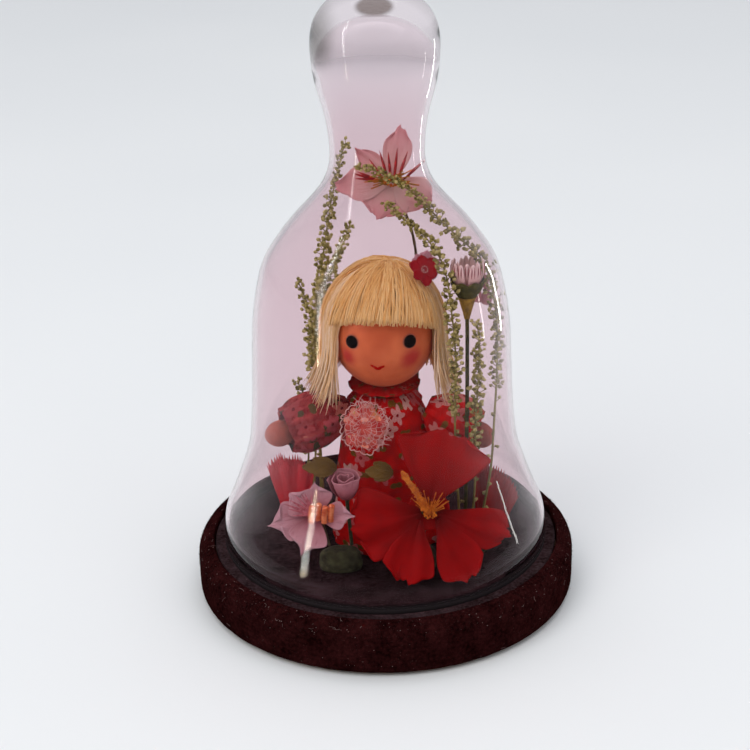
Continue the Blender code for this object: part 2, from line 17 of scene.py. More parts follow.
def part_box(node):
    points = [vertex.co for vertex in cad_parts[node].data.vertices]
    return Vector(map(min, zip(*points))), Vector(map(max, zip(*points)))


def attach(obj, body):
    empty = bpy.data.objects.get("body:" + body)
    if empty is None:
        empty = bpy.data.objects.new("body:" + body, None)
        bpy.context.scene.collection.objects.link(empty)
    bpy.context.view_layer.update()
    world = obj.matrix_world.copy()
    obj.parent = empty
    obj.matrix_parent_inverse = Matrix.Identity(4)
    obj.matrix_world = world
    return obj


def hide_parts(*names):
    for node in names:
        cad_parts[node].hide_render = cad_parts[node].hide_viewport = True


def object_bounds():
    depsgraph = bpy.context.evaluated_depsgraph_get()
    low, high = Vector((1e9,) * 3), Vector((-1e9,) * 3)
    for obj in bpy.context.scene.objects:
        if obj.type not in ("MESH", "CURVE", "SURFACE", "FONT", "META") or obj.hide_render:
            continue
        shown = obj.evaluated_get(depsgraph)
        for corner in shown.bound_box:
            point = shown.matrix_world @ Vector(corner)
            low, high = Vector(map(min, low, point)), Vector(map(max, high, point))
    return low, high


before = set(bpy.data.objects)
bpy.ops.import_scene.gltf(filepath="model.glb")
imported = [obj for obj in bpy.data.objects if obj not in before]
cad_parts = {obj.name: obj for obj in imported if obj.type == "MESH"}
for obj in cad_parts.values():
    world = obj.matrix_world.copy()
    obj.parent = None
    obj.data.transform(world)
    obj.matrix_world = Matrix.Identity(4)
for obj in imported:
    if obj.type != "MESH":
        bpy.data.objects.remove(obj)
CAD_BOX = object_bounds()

MM = 0.001
FRONT = Vector((0, -1, 0))
UP = Vector((0, 0, 1))
WELD_GAP = 0.002
noise.seed_set(7)  # without a seed, vector noise differs from run to run


# ---------------------------------------------------------------- reading the frame

@lru_cache(maxsize=None)
def merged(node):
    """A node's vertices in millimetres, each place once, and which ones its edges join."""
    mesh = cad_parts[node].data
    places, index = {}, []
    for vert in mesh.vertices:
        key = tuple(round(c / MM, 2) for c in vert.co)
        index.append(places.setdefault(key, len(places)))
    joined = {i: set() for i in range(len(places))}
    for edge in mesh.edges:
        a, b = (index[v] for v in edge.vertices)
        if a != b:
            joined[a].add(b)
            joined[b].add(a)
    return [Vector(p) for p in places], joined


@lru_cache(maxsize=None)
def span(node):
    """A node's box in millimetres: its lowest corner, highest corner and middle."""
    low, high = (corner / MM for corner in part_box(node))
    return low, high, (low + high) / 2


def meridian(node, centre_x=0.0):
    """The (radius, height) outline that a turned node was spun from, in order along it."""
    points, joined = merged(node)
    flat = {i for i, p in enumerate(points) if abs(p.y) < 0.02 and p.x - centre_x > -0.02}
    steps = {i: joined[i] & flat for i in flat}
    walk = [min(flat, key=lambda i: (len(steps[i]), points[i].z, points[i].x))]
    while True:
        ahead = sorted(steps[walk[-1]] - set(walk), key=lambda i: points[i].x)
        if not ahead:
            break
        walk.append(ahead[-1])
    return [(points[i].x - centre_x, points[i].z) for i in walk]


def centreline(node, foot_size=1.4):
    """The middle and the radius of each ring of a stalk, from its lowest end to its tip."""
    points, joined = merged(node)
    lowest = min(points, key=lambda p: p.z)
    ring = {i for i, p in enumerate(points) if (p - lowest).length < foot_size}
    seen, line = set(), []
    while ring:
        middle = sum((points[i] for i in ring), Vector()) / len(ring)
        line.append((middle, max((points[i] - middle).length for i in ring)))
        seen |= ring
        ring = set().union(*(joined[i] for i in ring)) - seen
    return line


@lru_cache(maxsize=None)
def principal(node):
    """A node's middle in millimetres and its three own directions, longest first."""
    points = np.array([list(p) for p in merged(node)[0]])
    middle = points.mean(0)
    ways = np.linalg.svd(points - middle)[2]
    return Vector(middle), [Vector(w) for w in ways]


def plane_of(node):
    """The middle of a flat node and its normal, turned to face the front."""
    middle, ways = principal(node)
    return middle, (ways[2] if ways[2].y < 0 else -ways[2])


# ---------------------------------------------------------------- shapes

class Bundle:
    """Many small shapes gathered into one mesh, in millimetres."""

    def __init__(self):
        self.verts, self.faces, self.uvs = [], [], []

    def add(self, verts, faces, uvs=None):
        base = len(self.verts)
        self.verts.extend(verts)
        self.faces.extend(tuple(base + i for i in face) for face in faces)
        self.uvs.extend(uvs if uvs is not None else [(0.0, 0.0)] * len(verts))

    def grid(self, rows, cols, point, wrap=False):
        """Adds a sheet of quads from point(row, column), which gives each place and its uv."""
        made = [point(i, j) for i in range(rows) for j in range(cols)]
        self.add([spot for spot, _ in made], grid_faces(rows, cols, wrap), [uv for _, uv in made])
        return self

    def tube(self, line, radius, sides=6, tint=0.0):
        """Adds a round closed tube along a line. radius is one number or one for each point."""
        line = [Vector(p) for p in line]
        radii = radius if hasattr(radius, "__len__") else [radius] * len(line)
        verts, uvs = [], []
        side = None
        for k, here in enumerate(line):
            ahead = line[min(k + 1, len(line) - 1)] - line[max(k - 1, 0)]
            ahead = ahead.normalized() if ahead.length > 1e-9 else UP
            if side is None:
                side = ahead.orthogonal().normalized()
            side = (side - ahead * side.dot(ahead)).normalized()
            other = ahead.cross(side)
            for j in range(sides):
                a = math.tau * j / sides
                verts.append(here + (side * math.cos(a) + other * math.sin(a)) * radii[k])
                uvs.append((tint, k / (len(line) - 1)))
        faces = grid_faces(len(line), sides, wrap=True)
        faces.append(tuple(reversed(range(sides))))
        last = (len(line) - 1) * sides
        faces.append(tuple(range(last, last + sides)))
        self.add(verts, faces, uvs)
        return self

    def grain(self, middle, direction, long, wide, tint, rounds=5, sides=6):
        """Adds a small oval grain or bead."""
        line = [middle + direction * (long * (k / rounds - 0.5)) for k in range(rounds + 1)]
        radii = [wide * (0.06 + 0.94 * math.sin(math.pi * k / rounds)) / 2 for k in range(rounds + 1)]
        return self.tube(line, radii, sides, tint)

    def moved(self, change):
        self.verts = [change(Vector(v)) for v in self.verts]
        return self

    def fitted(self, node, thick=0.0, share=((0, 1), (0, 1), (0, 1))):
        """Stretches the shape to a share of a node's box, less the thickness that it gets later."""
        low, high, _ = (np.array(corner) for corner in span(node))
        share = np.array(share, dtype=float)
        low, high = low + (high - low) * share[:, 0], low + (high - low) * share[:, 1]
        points = np.array([list(v) for v in self.verts])
        least, most = points.min(0), points.max(0)
        scale = np.maximum(high - low - thick, 0.2) / np.maximum(most - least, 1e-6)
        points = (points - (least + most) / 2) * scale + (low + high) / 2
        self.verts = [Vector(p) for p in points]
        return self


def show(name, shape, paint, body="base", replaces=(), thick=0.0):
    """Makes one visible piece of a bundle and rides it on its body."""
    mesh = bpy.data.meshes.new(name)
    mesh.from_pydata([tuple(c * MM for c in v) for v in shape.verts], [], shape.faces)
    layer = mesh.uv_layers.new(name="UVMap")
    corner_verts = np.empty(len(mesh.loops), dtype=np.int32)
    mesh.loops.foreach_get("vertex_index", corner_verts)
    layer.data.foreach_set("uv", np.array(shape.uvs, dtype=np.float32)[corner_verts].ravel())
    mesh.materials.append(paint)
    mesh.shade_smooth()
    thing = bpy.data.objects.new(name, mesh)
    bpy.context.collection.objects.link(thing)
    if thick:
        solid = thing.modifiers.new("Thickness", "SOLIDIFY")
        solid.thickness = thick * MM
        solid.offset = 0.0
    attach(thing, body)
    if replaces:
        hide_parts(*replaces)
    return thing


def grid_faces(rows, cols, wrap=False):
    """Quads between rows of points. wrap joins each row's end to its start."""
    faces = []
    for i in range(rows - 1):
        for j in range(cols if wrap else cols - 1):
            k = (j + 1) % cols
            faces.append((i * cols + j, i * cols + k, (i + 1) * cols + k, (i + 1) * cols + j))
    return faces


def lathe(outline, segments, closed=False, centre=(0.0, 0.0)):
    """A bundle turned about Z from a (radius, height) outline, facing out if it runs up outside."""
    rows = list(outline) + ([outline[0]] if closed else [])
    middle = Vector((*centre, 0))
    return Bundle().grid(len(rows), segments, lambda i, k: (
        middle + spun(math.tau * k / segments, *rows[i]), (k / segments, i / len(rows))), wrap=True)


def welded(thing):
    """Merges a turned piece's seam and poles and points its faces out."""
    bm = bmesh.new()
    bm.from_mesh(thing.data)
    bmesh.ops.remove_doubles(bm, verts=bm.verts, dist=WELD_GAP * MM)
    bmesh.ops.recalc_face_normals(bm, faces=bm.faces)
    bm.to_mesh(thing.data)
    bm.free()
    return thing


def smooth_line(points, per_span=5):
    """A centripetal Catmull-Rom curve through points of any dimension, as arrays."""
    pts = [np.array(p, dtype=float) for p in points]
    pts = [2 * pts[0] - pts[1]] + pts + [2 * pts[-1] - pts[-2]]
    line = []
    for a, b, c, d in zip(pts, pts[1:], pts[2:], pts[3:]):
        knots = [0.0]
        for p, q in ((a, b), (b, c), (c, d)):
            knots.append(knots[-1] + max(np.linalg.norm(q - p), 1e-6) ** 0.5)
        t0, t1, t2, t3 = knots
        for k in range(per_span):
            t = t1 + (t2 - t1) * k / per_span
            ab = (t1 - t) / (t1 - t0) * a + (t - t0) / (t1 - t0) * b
            bc = (t2 - t) / (t2 - t1) * b + (t - t1) / (t2 - t1) * c
            cd = (t3 - t) / (t3 - t2) * c + (t - t2) / (t3 - t2) * d
            abc = (t2 - t) / (t2 - t0) * ab + (t - t0) / (t2 - t0) * bc
            bcd = (t3 - t) / (t3 - t1) * bc + (t - t1) / (t3 - t1) * cd
            line.append((t2 - t) / (t2 - t1) * abc + (t - t1) / (t2 - t1) * bcd)
    line.append(pts[-2])
    return line


def spun(a, r, z=0.0):
    """The point at angle a and radius r round the Z axis, at height z."""
    return Vector((r * math.cos(a), r * math.sin(a), z))


def laid(way):
    """The turn that lays local Z along a direction."""
    return way.to_track_quat("Z", "Y").to_matrix().to_4x4()


def roughened(v, size, depth, offset=0.0):
    """v pushed by smooth noise with features about size across and up to depth deep."""
    return v + noise.noise_vector(v / size + Vector((offset, offset, offset))) * depth


def facing(origin, up, normal):
    """The matrix that puts local Z on normal and local Y as near up as it can, at origin."""
    z = Vector(normal).normalized()
    x = Vector(up).cross(z).normalized()
    y = z.cross(x)
    return Matrix.Translation(Vector(origin)) @ Matrix((x, y, z)).transposed().to_4x4()


def between(a, b, t):
    return a + (b - a) * t


def ease(t):
    t = min(max(t, 0.0), 1.0)
    return t * t * (3 - 2 * t)


# ---------------------------------------------------------------- paint

class Paint:
    """A node material. Each method adds one node and gives back its output."""

    def __init__(self, name, roughness=0.8, **sockets):
        self.material = bpy.data.materials.new(name)
        self.material.use_nodes = True
        self.tree = self.material.node_tree
        self.shader = self.tree.nodes["Principled BSDF"]
        self.shader.inputs["Roughness"].default_value = roughness
        for socket, value in sockets.items():
            self.put(self.shader.inputs[socket.replace("_", " ")], value)

    def put(self, socket, value):
        if isinstance(value, bpy.types.NodeSocket):
            self.tree.links.new(value, socket)
        elif socket.type == "RGBA":
            socket.default_value = (*value[:3], 1.0)
        else:
            socket.default_value = value

    def node(self, kind, inputs, output=0, **settings):
        made = self.tree.nodes.new("ShaderNode" + kind)
        for key, value in settings.items():
            setattr(made, key, value)
        for key, value in inputs.items():
            self.put(made.inputs[key], value)
        return made.outputs[output]

    def where(self, kind="Object", stretch=(1.0, 1.0, 1.0)):
        place = self.node("TexCoord", {}, kind)
        return self.node("Mapping", {"Vector": place, "Scale": stretch})

    def noise(self, size, detail=3.0, where=None):
        """Cloudy noise with features about size millimetres across in object space."""
        place = where or self.where()
        settings = {"Vector": place, "Scale": 1 / (size * MM), "Detail": detail, "Roughness": 0.55}
        return self.node("TexNoise", settings)

    def ramp(self, factor, *stops):
        """A colour ramp from (position, colour) stops."""
        made = self.tree.nodes.new("ShaderNodeValToRGB")
        self.put(made.inputs[0], factor)
        marks = made.color_ramp.elements
        while len(marks) < len(stops):
            marks.new(0.5)
        for mark, (position, colour) in zip(marks, stops):
            mark.position = position
            mark.color = (*colour, 1.0)
        return made.outputs[0]

    def step(self, factor, low, high):
        """0 below low, 1 above high, smooth between."""
        return self.node("MapRange", {"Value": factor, "From Min": low, "From Max": high},
                         interpolation_type="SMOOTHSTEP")

    def mix(self, factor, a, b, blend="MIX"):
        return self.node("MixRGB", {"Fac": factor, "Color1": a, "Color2": b}, blend_type=blend)

    def math(self, operation, a, b=0.0):
        return self.node("Math", {0: a, 1: b}, operation=operation)

    def colour(self, value):
        self.put(self.shader.inputs["Base Color"], value)
        return self

    def bump(self, height, depth, strength=1.0):
        settings = {"Height": height, "Distance": depth * MM, "Strength": strength}
        self.put(self.shader.inputs["Normal"], self.node("Bump", settings))
        return self


def velvet_paint(name, dark, light, dust):
    """Deep pile that shows lighter where it lies over, with fine dust caught in it."""
    paint = Paint(name, 1.0, Specular_IOR_Level=0.0)
    nap = paint.mix(0.5, paint.noise(7.0, 4.0), paint.noise(1.1, 3.0))
    pile = paint.ramp(nap, (0.36, dark), (0.66, light))
    specks = paint.step(paint.noise(0.7, 2.0), 0.68, 0.76)
    patches = paint.step(paint.noise(14.0, 2.0), 0.42, 0.62)
    paint.colour(paint.mix(paint.math("MULTIPLY", specks, patches), pile, dust))
    return paint.bump(paint.noise(0.35, 4.0), 0.25, 0.8).material


def plain_paint(name, dark, light, size, roughness=0.85, depth=0.05, grain=0.4, **sockets):
    """A matt natural surface in two tones with a fine grain."""
    paint = Paint(name, roughness, **sockets)
    paint.colour(paint.ramp(paint.noise(size, 4.0), (0.35, dark), (0.68, light)))
    return paint.bump(paint.noise(grain, 3.0), depth).material


def glass_paint():
    """Thin lilac-tinted glass that lets lamp light straight through to what it covers. It is painted lighter
    above the shoulder, painted shade darkens the crown's left side and the foot, and a painted dark
    reflection lies on the tip.
    """
    paint = Paint("bell_glass_clear", 0.0, IOR=1.45, Transmission_Weight=1.0,
                  Specular_Tint=(0.07, 0.07, 0.07))
    clear = paint.node("BsdfTransparent", {"Color": (0.93, 0.875, 0.89)})
    across, height = (paint.node("SeparateXYZ", {0: paint.node("TexCoord", {}, "Object")}, k) for k in (0, 2))
    # Painted light: the glass above the shoulder is tinted lighter and less pink, so the bulb shows brighter.
    tint = paint.mix(paint.step(height, 0.150, 0.180), (0.895, 0.775, 0.805), (0.93, 0.86, 0.885))
    # Painted shade: a dark grey laid over the thick glass on the crown's left side.
    crown_shade = paint.math("MULTIPLY", paint.step(across, -0.0110, -0.0185), paint.step(height, 0.174, 0.184))
    tint = paint.mix(crown_shade, tint, (0.42, 0.39, 0.38))
    # Painted reflection: the very tip of the glass is tinted dark brown.
    tip = paint.step(height, 0.1991, 0.1999)
    paint.colour(paint.mix(tip, tint, (0.12, 0.085, 0.075)))
    # Painted shade: near the foot the glass gives way to a dark matt surface, which hides the foot's bright
    # rim.
    foot_shade = paint.node("BsdfDiffuse", {"Color": (0.030, 0.024, 0.026)})
    foot = paint.step(height, 0.0204, 0.0184)
    surface = paint.node("MixShader", {0: foot, 1: paint.shader.outputs[0], 2: foot_shade})
    for ray in ("Is Shadow Ray", "Is Diffuse Ray"):
        surface = paint.node("MixShader", {0: paint.node("LightPath", {}, ray), 1: surface, 2: clear})
    output = next(n for n in paint.tree.nodes if n.type == "OUTPUT_MATERIAL")
    paint.put(output.inputs["Surface"], surface)
    return paint.material


def skin_paint(name, blushes=(), eyes=()):
    """Peach paint on wood, with soft rouge where the cheeks are and a grey edge at each eye."""
    paint = Paint(name, 0.5, Specular_IOR_Level=0.35, Sheen_Weight=0.08)
    skin = paint.ramp(paint.noise(9.0, 3.0), (0.35, (0.63, 0.130, 0.036)), (0.7, (0.80, 0.205, 0.062)))
    place = paint.where()
    for spot, size in blushes:
        away = paint.node("VectorMath", {0: place, 1: spot * MM}, "Value", operation="DISTANCE")
        soft = paint.math("ADD", away, paint.math("MULTIPLY", paint.noise(2.5), 1.6 * MM))
        share = paint.step(soft, size * MM * 1.6, size * MM * 0.45)
        skin = paint.mix(paint.math("MULTIPLY", share, 0.95), skin, (0.52, 0.022, 0.016))
    for spot, size in eyes:
        away = paint.node("VectorMath", {0: place, 1: spot * MM}, "Value", operation="DISTANCE")
        share = paint.step(away, size * MM * 1.35, size * MM * 1.05)
        skin = paint.mix(paint.math("MULTIPLY", share, 0.6), skin, (0.20, 0.13, 0.12))
    paint.colour(skin)
    return paint.bump(paint.noise(0.9, 3.0), 0.04, 0.6).material


def yarn_paint(name, shade, middle, bright):
    """Blond mohair: each strand has its own tone, with painted shade that makes it darker towards its root
    and lighter towards its tip.
    """
    paint = Paint(name, 0.7, Sheen_Weight=0.12, Sheen_Roughness=0.5, Specular_IOR_Level=0.2)
    uv = paint.node("TexCoord", {}, "UV")
    own, along = (paint.node("SeparateXYZ", {0: uv}, k) for k in (0, 1))
    tone = paint.mix(0.35, own, paint.noise(1.6, 3.0))
    # Painted shade: strands get lighter towards their tips and stay darker towards their roots.
    tone = paint.math("ADD", tone, paint.math("MULTIPLY", paint.step(along, 0.35, 1.0), 0.22))
    paint.colour(paint.ramp(tone, (0.12, shade), (0.5, middle), (0.88, bright)))
    return paint.bump(paint.noise(0.12, 2.0), 0.05).material


def silk_paint(name, root, body, edge, streak, streaks=0.5):
    """Dyed petal silk: root to edge shading, streaks running out from the root, a fine weave."""
    paint = Paint(name, 0.6, Specular_IOR_Level=0.10)
    spread = paint.where("UV", (9.0, 0.9, 1.0))
    lines = paint.node("TexNoise", {"Vector": spread, "Scale": 3.0, "Detail": 4.0})
    along = paint.node("SeparateXYZ", {0: paint.node("TexCoord", {}, "UV")}, 1)
    base = paint.ramp(paint.mix(0.16, along, lines), (0.05, root), (0.45, body), (0.95, edge))
    thin = paint.step(lines, 0.53, 0.68)
    base = paint.mix(paint.math("MULTIPLY", thin, streaks), base, streak)
    cloudy = paint.step(paint.noise(5.0, 3.0), 0.35, 0.75)
    base = paint.mix(paint.math("MULTIPLY", cloudy, 0.25), base, body, "MULTIPLY")
    paint.colour(base)
    weave = paint.mix(0.5, paint.noise(0.18, 2.0), lines)
    return paint.bump(weave, 0.10, 0.7).material


def blossom_mask(paint, uv, size, lobes, full):
    """Where small printed blossoms lie on cloth: (mask, distance from the middle, own colour)."""
    cells = paint.tree.nodes.new("ShaderNodeTexVoronoi")
    cells.voronoi_dimensions = "2D"
    cells.inputs["Scale"].default_value = 10.0 / size
    cells.inputs["Randomness"].default_value = 0.75
    paint.put(cells.inputs["Vector"], uv)
    offset = paint.node("VectorMath", {0: uv, 1: cells.outputs["Position"]}, operation="SUBTRACT")
    x = paint.node("SeparateXYZ", {0: offset}, 0)
    y = paint.node("SeparateXYZ", {0: offset}, 1)
    turn = paint.math("MULTIPLY", paint.math("ARCTAN2", y, x), float(lobes))
    wave = paint.math("MULTIPLY", paint.math("COSINE", turn), 0.085)
    edge = paint.math("SUBTRACT", paint.math("ADD", wave, full), cells.outputs["Distance"])
    return paint.step(edge, 0.0, 0.03), cells.outputs["Distance"], cells.outputs["Color"]


def print_paint(name, ground, deep, flowers, heart, leaf, size, lobes=5, full=0.29, leafy=0.19):
    """Printed cotton: small blossoms and leaves scattered over a dyed ground, in plain weave."""
    paint = Paint(name, 0.9, Specular_IOR_Level=0.08)
    uv = paint.node("TexCoord", {}, "UV")
    place = paint.where()
    base = paint.ramp(paint.noise(3.0, 3.0, place), (0.35, deep), (0.62, ground))

    shifted = paint.node("VectorMath", {0: uv, 1: (3.7, 1.9, 0.0)}, operation="ADD")
    leaves, _, pick = blossom_mask(paint, shifted, size * 0.9, 2, leafy)
    base = paint.mix(leaves, base, paint.mix(pick, leaf, (leaf[0] * 2, leaf[1] * 1.5, leaf[2])))
    mask, away, pick = blossom_mask(paint, uv, size, lobes, full)
    own = paint.node("SeparateXYZ", {0: pick}, 0)
    petals = paint.ramp(own, (0.0, flowers[0]), (0.45, flowers[1]), (1.0, flowers[2]))
    rings = paint.step(paint.node("TexNoise", {"Vector": uv, "Scale": 26.0, "Detail": 2.0}), 0.5, 0.62)
    petals = paint.mix(paint.math("MULTIPLY", rings, 0.35), petals, deep)
    petals = paint.mix(paint.step(away, 0.09, 0.05), petals, heart)
    base = paint.mix(mask, base, petals)
    paint.colour(base)
    threads = paint.node("TexBrick", {"Vector": paint.where("UV", (30, 30, 30)), "Scale": 1.6,
                                      "Mortar Size": 0.09, "Mortar Smooth": 1.0}, 1)
    grain = paint.mix(0.5, threads, paint.noise(0.2, 2.0))
    return paint.bump(grain, 0.06, 0.6).material


# ---------------------------------------------------------------- base

def rounded(outline):
    """A closed outline with its corners cut twice, which softens its edges."""
    for _ in range(2):
        cut = []
        for a, b in zip(outline, outline[1:] + outline[:1]):
            a, b = np.array(a), np.array(b)
            cut += [tuple(a * 0.82 + b * 0.18), tuple(a * 0.18 + b * 0.82)]
        outline = cut
    return outline


def make_ring():
    outline = rounded(meridian("velvet_ring"))
    shape = lathe(outline, 220, closed=True)
    shape.moved(lambda v: roughened(v, 2.2, 0.10))
    paint = velvet_paint("velvet_pile", (0.0060, 0.0010, 0.0011), (0.034, 0.0070, 0.0072),
                         (0.11, 0.055, 0.05))
    welded(show("velvet_cover", shape, paint, replaces=["velvet_ring"]))

    low, _, middle = span("velvet_ring")
    inner = min(r for r, z in outline)
    draw = random.Random("pile")
    fuzz, dust = Bundle(), Bundle()
    shell = [(r, z) for r, z in outline if r > inner + 0.5 and z > low.z + 0.6]
    shell.sort(key=lambda p: math.atan2(p[1] - middle.z, p[0] - inner))
    for k in range(9000):
        spot, out = point_on_ring(draw, shell, middle.z, inner)
        lean = Vector((draw.gauss(0, 1), draw.gauss(0, 1), draw.gauss(0, 1))) * 0.35
        tip = spot + (out + lean) * draw.uniform(0.25, 0.6)
        wide = out.orthogonal().normalized() * 0.035
        tone = draw.random()
        fuzz.add([spot - wide, spot + wide, tip], [(0, 1, 2)], [(tone, 0), (tone, 0), (tone, 1)])
    pile = plain_paint("velvet_fibre", (0.008, 0.0015, 0.0015), (0.042, 0.010, 0.010), 1.5, 0.9)
    show("velvet_fibres", fuzz, pile)
    for k in range(420):
        spot, out = point_on_ring(draw, shell, middle.z, inner)
        if k % 6:
            grain = draw.uniform(0.14, 0.42)
            dust.grain(spot + out * 0.08, out.orthogonal(), grain, grain * 0.7, 0.5, 3, 5)
        else:
            way = Matrix.Rotation(draw.uniform(0, math.tau), 3, out) @ out.orthogonal().normalized()
            bend = out.cross(way) * draw.uniform(-0.6, 0.6)
            reach = draw.uniform(0.5, 1.5)
            line = [spot + out * 0.16 + way * reach * t + bend * t * t for t in (-1, -0.4, 0.2, 1)]
            dust.tube(line, 0.045, 4)
    lint = plain_paint("lint", (0.09, 0.05, 0.046), (0.22, 0.15, 0.14), 2.0, 0.95)
    show("velvet_lint", dust, lint)


def point_on_ring(draw, shell, middle_z, inner):
    """A random point on the ring's visible skin, and the way out from it."""
    r, z = shell[draw.randrange(len(shell))]
    a = draw.uniform(0, math.tau)
    around = Vector((math.cos(a), math.sin(a), 0))
    centre = inner + 2.0
    out = (around * (r - centre) + UP * (z - middle_z)).normalized()
    return around * r + UP * z, out


def make_floor_and_board():
    low, high, _ = span("velvet_floor")
    radius = high.x
    outline = [(radius * k / 40, high.z) for k in range(40)]
    outline += [(radius - 0.25, high.z), (radius, high.z - 0.25), (radius, low.z), (0.0, low.z)]
    shape = lathe(outline, 160)
    shape.moved(lambda v: roughened(v, 3.0, 0.06) if v.z > low.z + 0.5 else v)
    paint = velvet_paint("floor_pile", (0.010, 0.0045, 0.0045), (0.050, 0.031, 0.035), (0.15, 0.10, 0.10))
    welded(show("floor_cover", shape, paint, replaces=["velvet_floor"]))

    wood = Paint("pine_board", 0.6)
    rings = wood.node("TexWave", {"Vector": wood.where(stretch=(1, 6, 1)), "Scale": 60.0,
                                  "Distortion": 5.0, "Detail": 3.0})
    wood.colour(wood.ramp(rings, (0.2, (0.40, 0.25, 0.13)), (0.8, (0.55, 0.38, 0.22))))
    wood.bump(rings, 0.05)
    felt = plain_paint("base_felt_nap", (0.03, 0.018, 0.018), (0.07, 0.045, 0.045), 1.2, 0.95, 0.12)
    wadding = plain_paint("wadding", (0.45, 0.34, 0.24), (0.62, 0.50, 0.38), 2.0, 0.95, 0.2, 0.8)
    for node, paint in (("base_board", wood.material), ("neck_peg", wood.material),
                        ("base_felt", felt), ("doll_body", wadding)):
        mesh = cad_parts[node].data
        mesh.materials.clear()
        mesh.materials.append(paint)


# ---------------------------------------------------------------- dome

def make_dome():
    outline = meridian("glass_dome")
    ends = [(-outline[1][0], outline[1][1])], [(-outline[-2][0], outline[-2][1])]
    line = smooth_line(ends[0] + outline + ends[1], 5)[5:-5]
    line[0][0] = line[-1][0] = 0.0
    shape = lathe([tuple(p) for p in line], 168)
    shape.moved(lambda v: roughened(v, 26.0, 0.10))
    return welded(show("bell_glass", shape, glass_paint(), "dome", ["glass_dome"]))


# ---------------------------------------------------------------- doll

HEAD_TALL = 1.147  # the ball head's height over its width
HAIR_OUT = 3.3  # the outer strands' lift off the head, and the cap's and the inner strands'
HAIR_CAP = 0.9
HAIR_MID = 1.9


@lru_cache(maxsize=None)
def head_frame():
    """The ball head's middle and its half sizes."""
    low, high, middle = span("doll_head")
    half = (high.x - low.x) / 2
    return Vector((middle.x, middle.y, high.z - half * HEAD_TALL)), half


def on_head(way, lift=0.0):
    """The point over the head's surface in a direction from its middle."""
    centre, half = head_frame()
    way = Vector(way).normalized()
    wide, tall = half + lift, half * HEAD_TALL + lift
    reach = 1 / math.sqrt((way.x ** 2 + way.y ** 2) / wide ** 2 + way.z ** 2 / tall ** 2)
    return centre + way * reach


def turned_way(azimuth, polar):
    """The direction at an azimuth from the front, to the right, and a polar angle from the top."""
    a, p = math.radians(azimuth), math.radians(polar)
    return Vector((math.sin(p) * math.sin(a), -math.sin(p) * math.cos(a), math.cos(p)))


def make_head():
    centre, half = head_frame()
    outline = []
    for k in range(49):
        a = math.pi * (1 - k / 48)
        outline.append((half * math.sin(a), centre.z + half * HEAD_TALL * math.cos(a)))
    shape = lathe(outline, 96, centre=(centre.x, centre.y))
    eyes = [span(node)[2] for node in ("eye_left", "eye_right")]
    cheeks = [on_head(eyes[0] - centre + Vector((-2.2, 1.5, -6.2))),
              on_head(eyes[1] - centre + Vector((1.0, 0.5, -6.6)))]
    paint = skin_paint("head_skin", [(cheeks[0], 3.5), (cheeks[1], 3.9)], [(e, 2.1) for e in eyes])
    welded(show("ball_head", shape, paint, replaces=["doll_head"]))

    black = Paint("bead_black_gloss", 0.35, Specular_IOR_Level=0.06)
    black.colour(black.ramp(black.noise(0.8), (0.3, (0.002, 0.002, 0.002)), (0.7, (0.008, 0.006, 0.006))))
    for node, eye in zip(("eye_left", "eye_right"), eyes):
        out = (eye - centre).normalized()
        outline = [(2.1 * math.cos(a), 1.25 * math.sin(a) - 0.4) for a in
                   (math.radians(d) for d in range(0, 91, 10))]
        bead = lathe(outline, 28)
        place = laid(out)
        bead.moved(lambda v: eye + place @ v - out * 0.1)
        welded(show(node.replace("eye", "bead_eye"), bead, black.material, replaces=[node]))
    make_mouth(centre)


def make_mouth(centre):
    """The painted smile, a flat stroke that lies on the ball."""
    middle = on_head((-2.1, -15.6, -7.2)) - centre
    corners = [(-2.2, 0.75), (-1.45, 0.45), (-0.75, 0.05), (-0.1, -0.62), (0.5, -0.45), (1.15, 0.2),
               (1.75, 0.42), (2.25, 0.95)]
    widths = [0.26, 0.50, 0.50, 0.66, 0.64, 0.50, 0.48, 0.24]
    line = smooth_line([(x, z, w) for (x, z), w in zip(corners, widths)], 5)
    stroke = Bundle()
    verts = []
    for k, (x, z, w) in enumerate(line):
        ahead = line[min(k + 1, len(line) - 1)] - line[max(k - 1, 0)]
        across = Vector((-ahead[1], 0, ahead[0])).normalized() * w
        for side in (-1, -0.4, 0.4, 1):
            lift = 0.05 + 0.08 * (1 - side * side)
            verts.append(on_head(middle + Vector((x, 0, z)) + across * side, lift))
    uvs = [(0.5, 0.5)] * len(verts)
    stroke.add(verts, grid_faces(len(line), 4), uvs)
    red = plain_paint("lip_red", (0.42, 0.004, 0.002), (0.55, 0.008, 0.004), 0.8, 0.9, 0.02, 0.3,
                      Specular_IOR_Level=0.1)
    show("painted_mouth", stroke, red)


CROWN = turned_way(125, 9)  # where the yarn is sewn on, behind the top and a little to the right


def strand_line(start, end, lift, hang=None, flare=0.0, wave=0.0, draw=None):
    """A strand's points over the head from one direction to another, and straight down if it hangs."""
    line = [on_head((start * (1 - t) + end * t).normalized(), lift * (0.45 + 0.55 * ease(t * 4)))
            for t in (k / 10 for k in range(11))]
    if hang is not None:
        foot, centre = line[-1], head_frame()[0]
        out = Vector((foot.x - centre.x, foot.y - centre.y, 0)).normalized()
        aside = out.cross(UP) * wave
        for t in (k / 6 for k in range(1, 7)):
            drop = UP * ((hang - foot.z) * t)
            line.append(foot + drop + out * (flare * t * t) + aside * math.sin(t * 2.4) * t)
    if draw is not None:
        shift = Vector((draw.uniform(-50, 50), 0, 0))
        line = [p + noise.noise_vector(p / 9 + shift) * 0.28 for p in line]
    return line


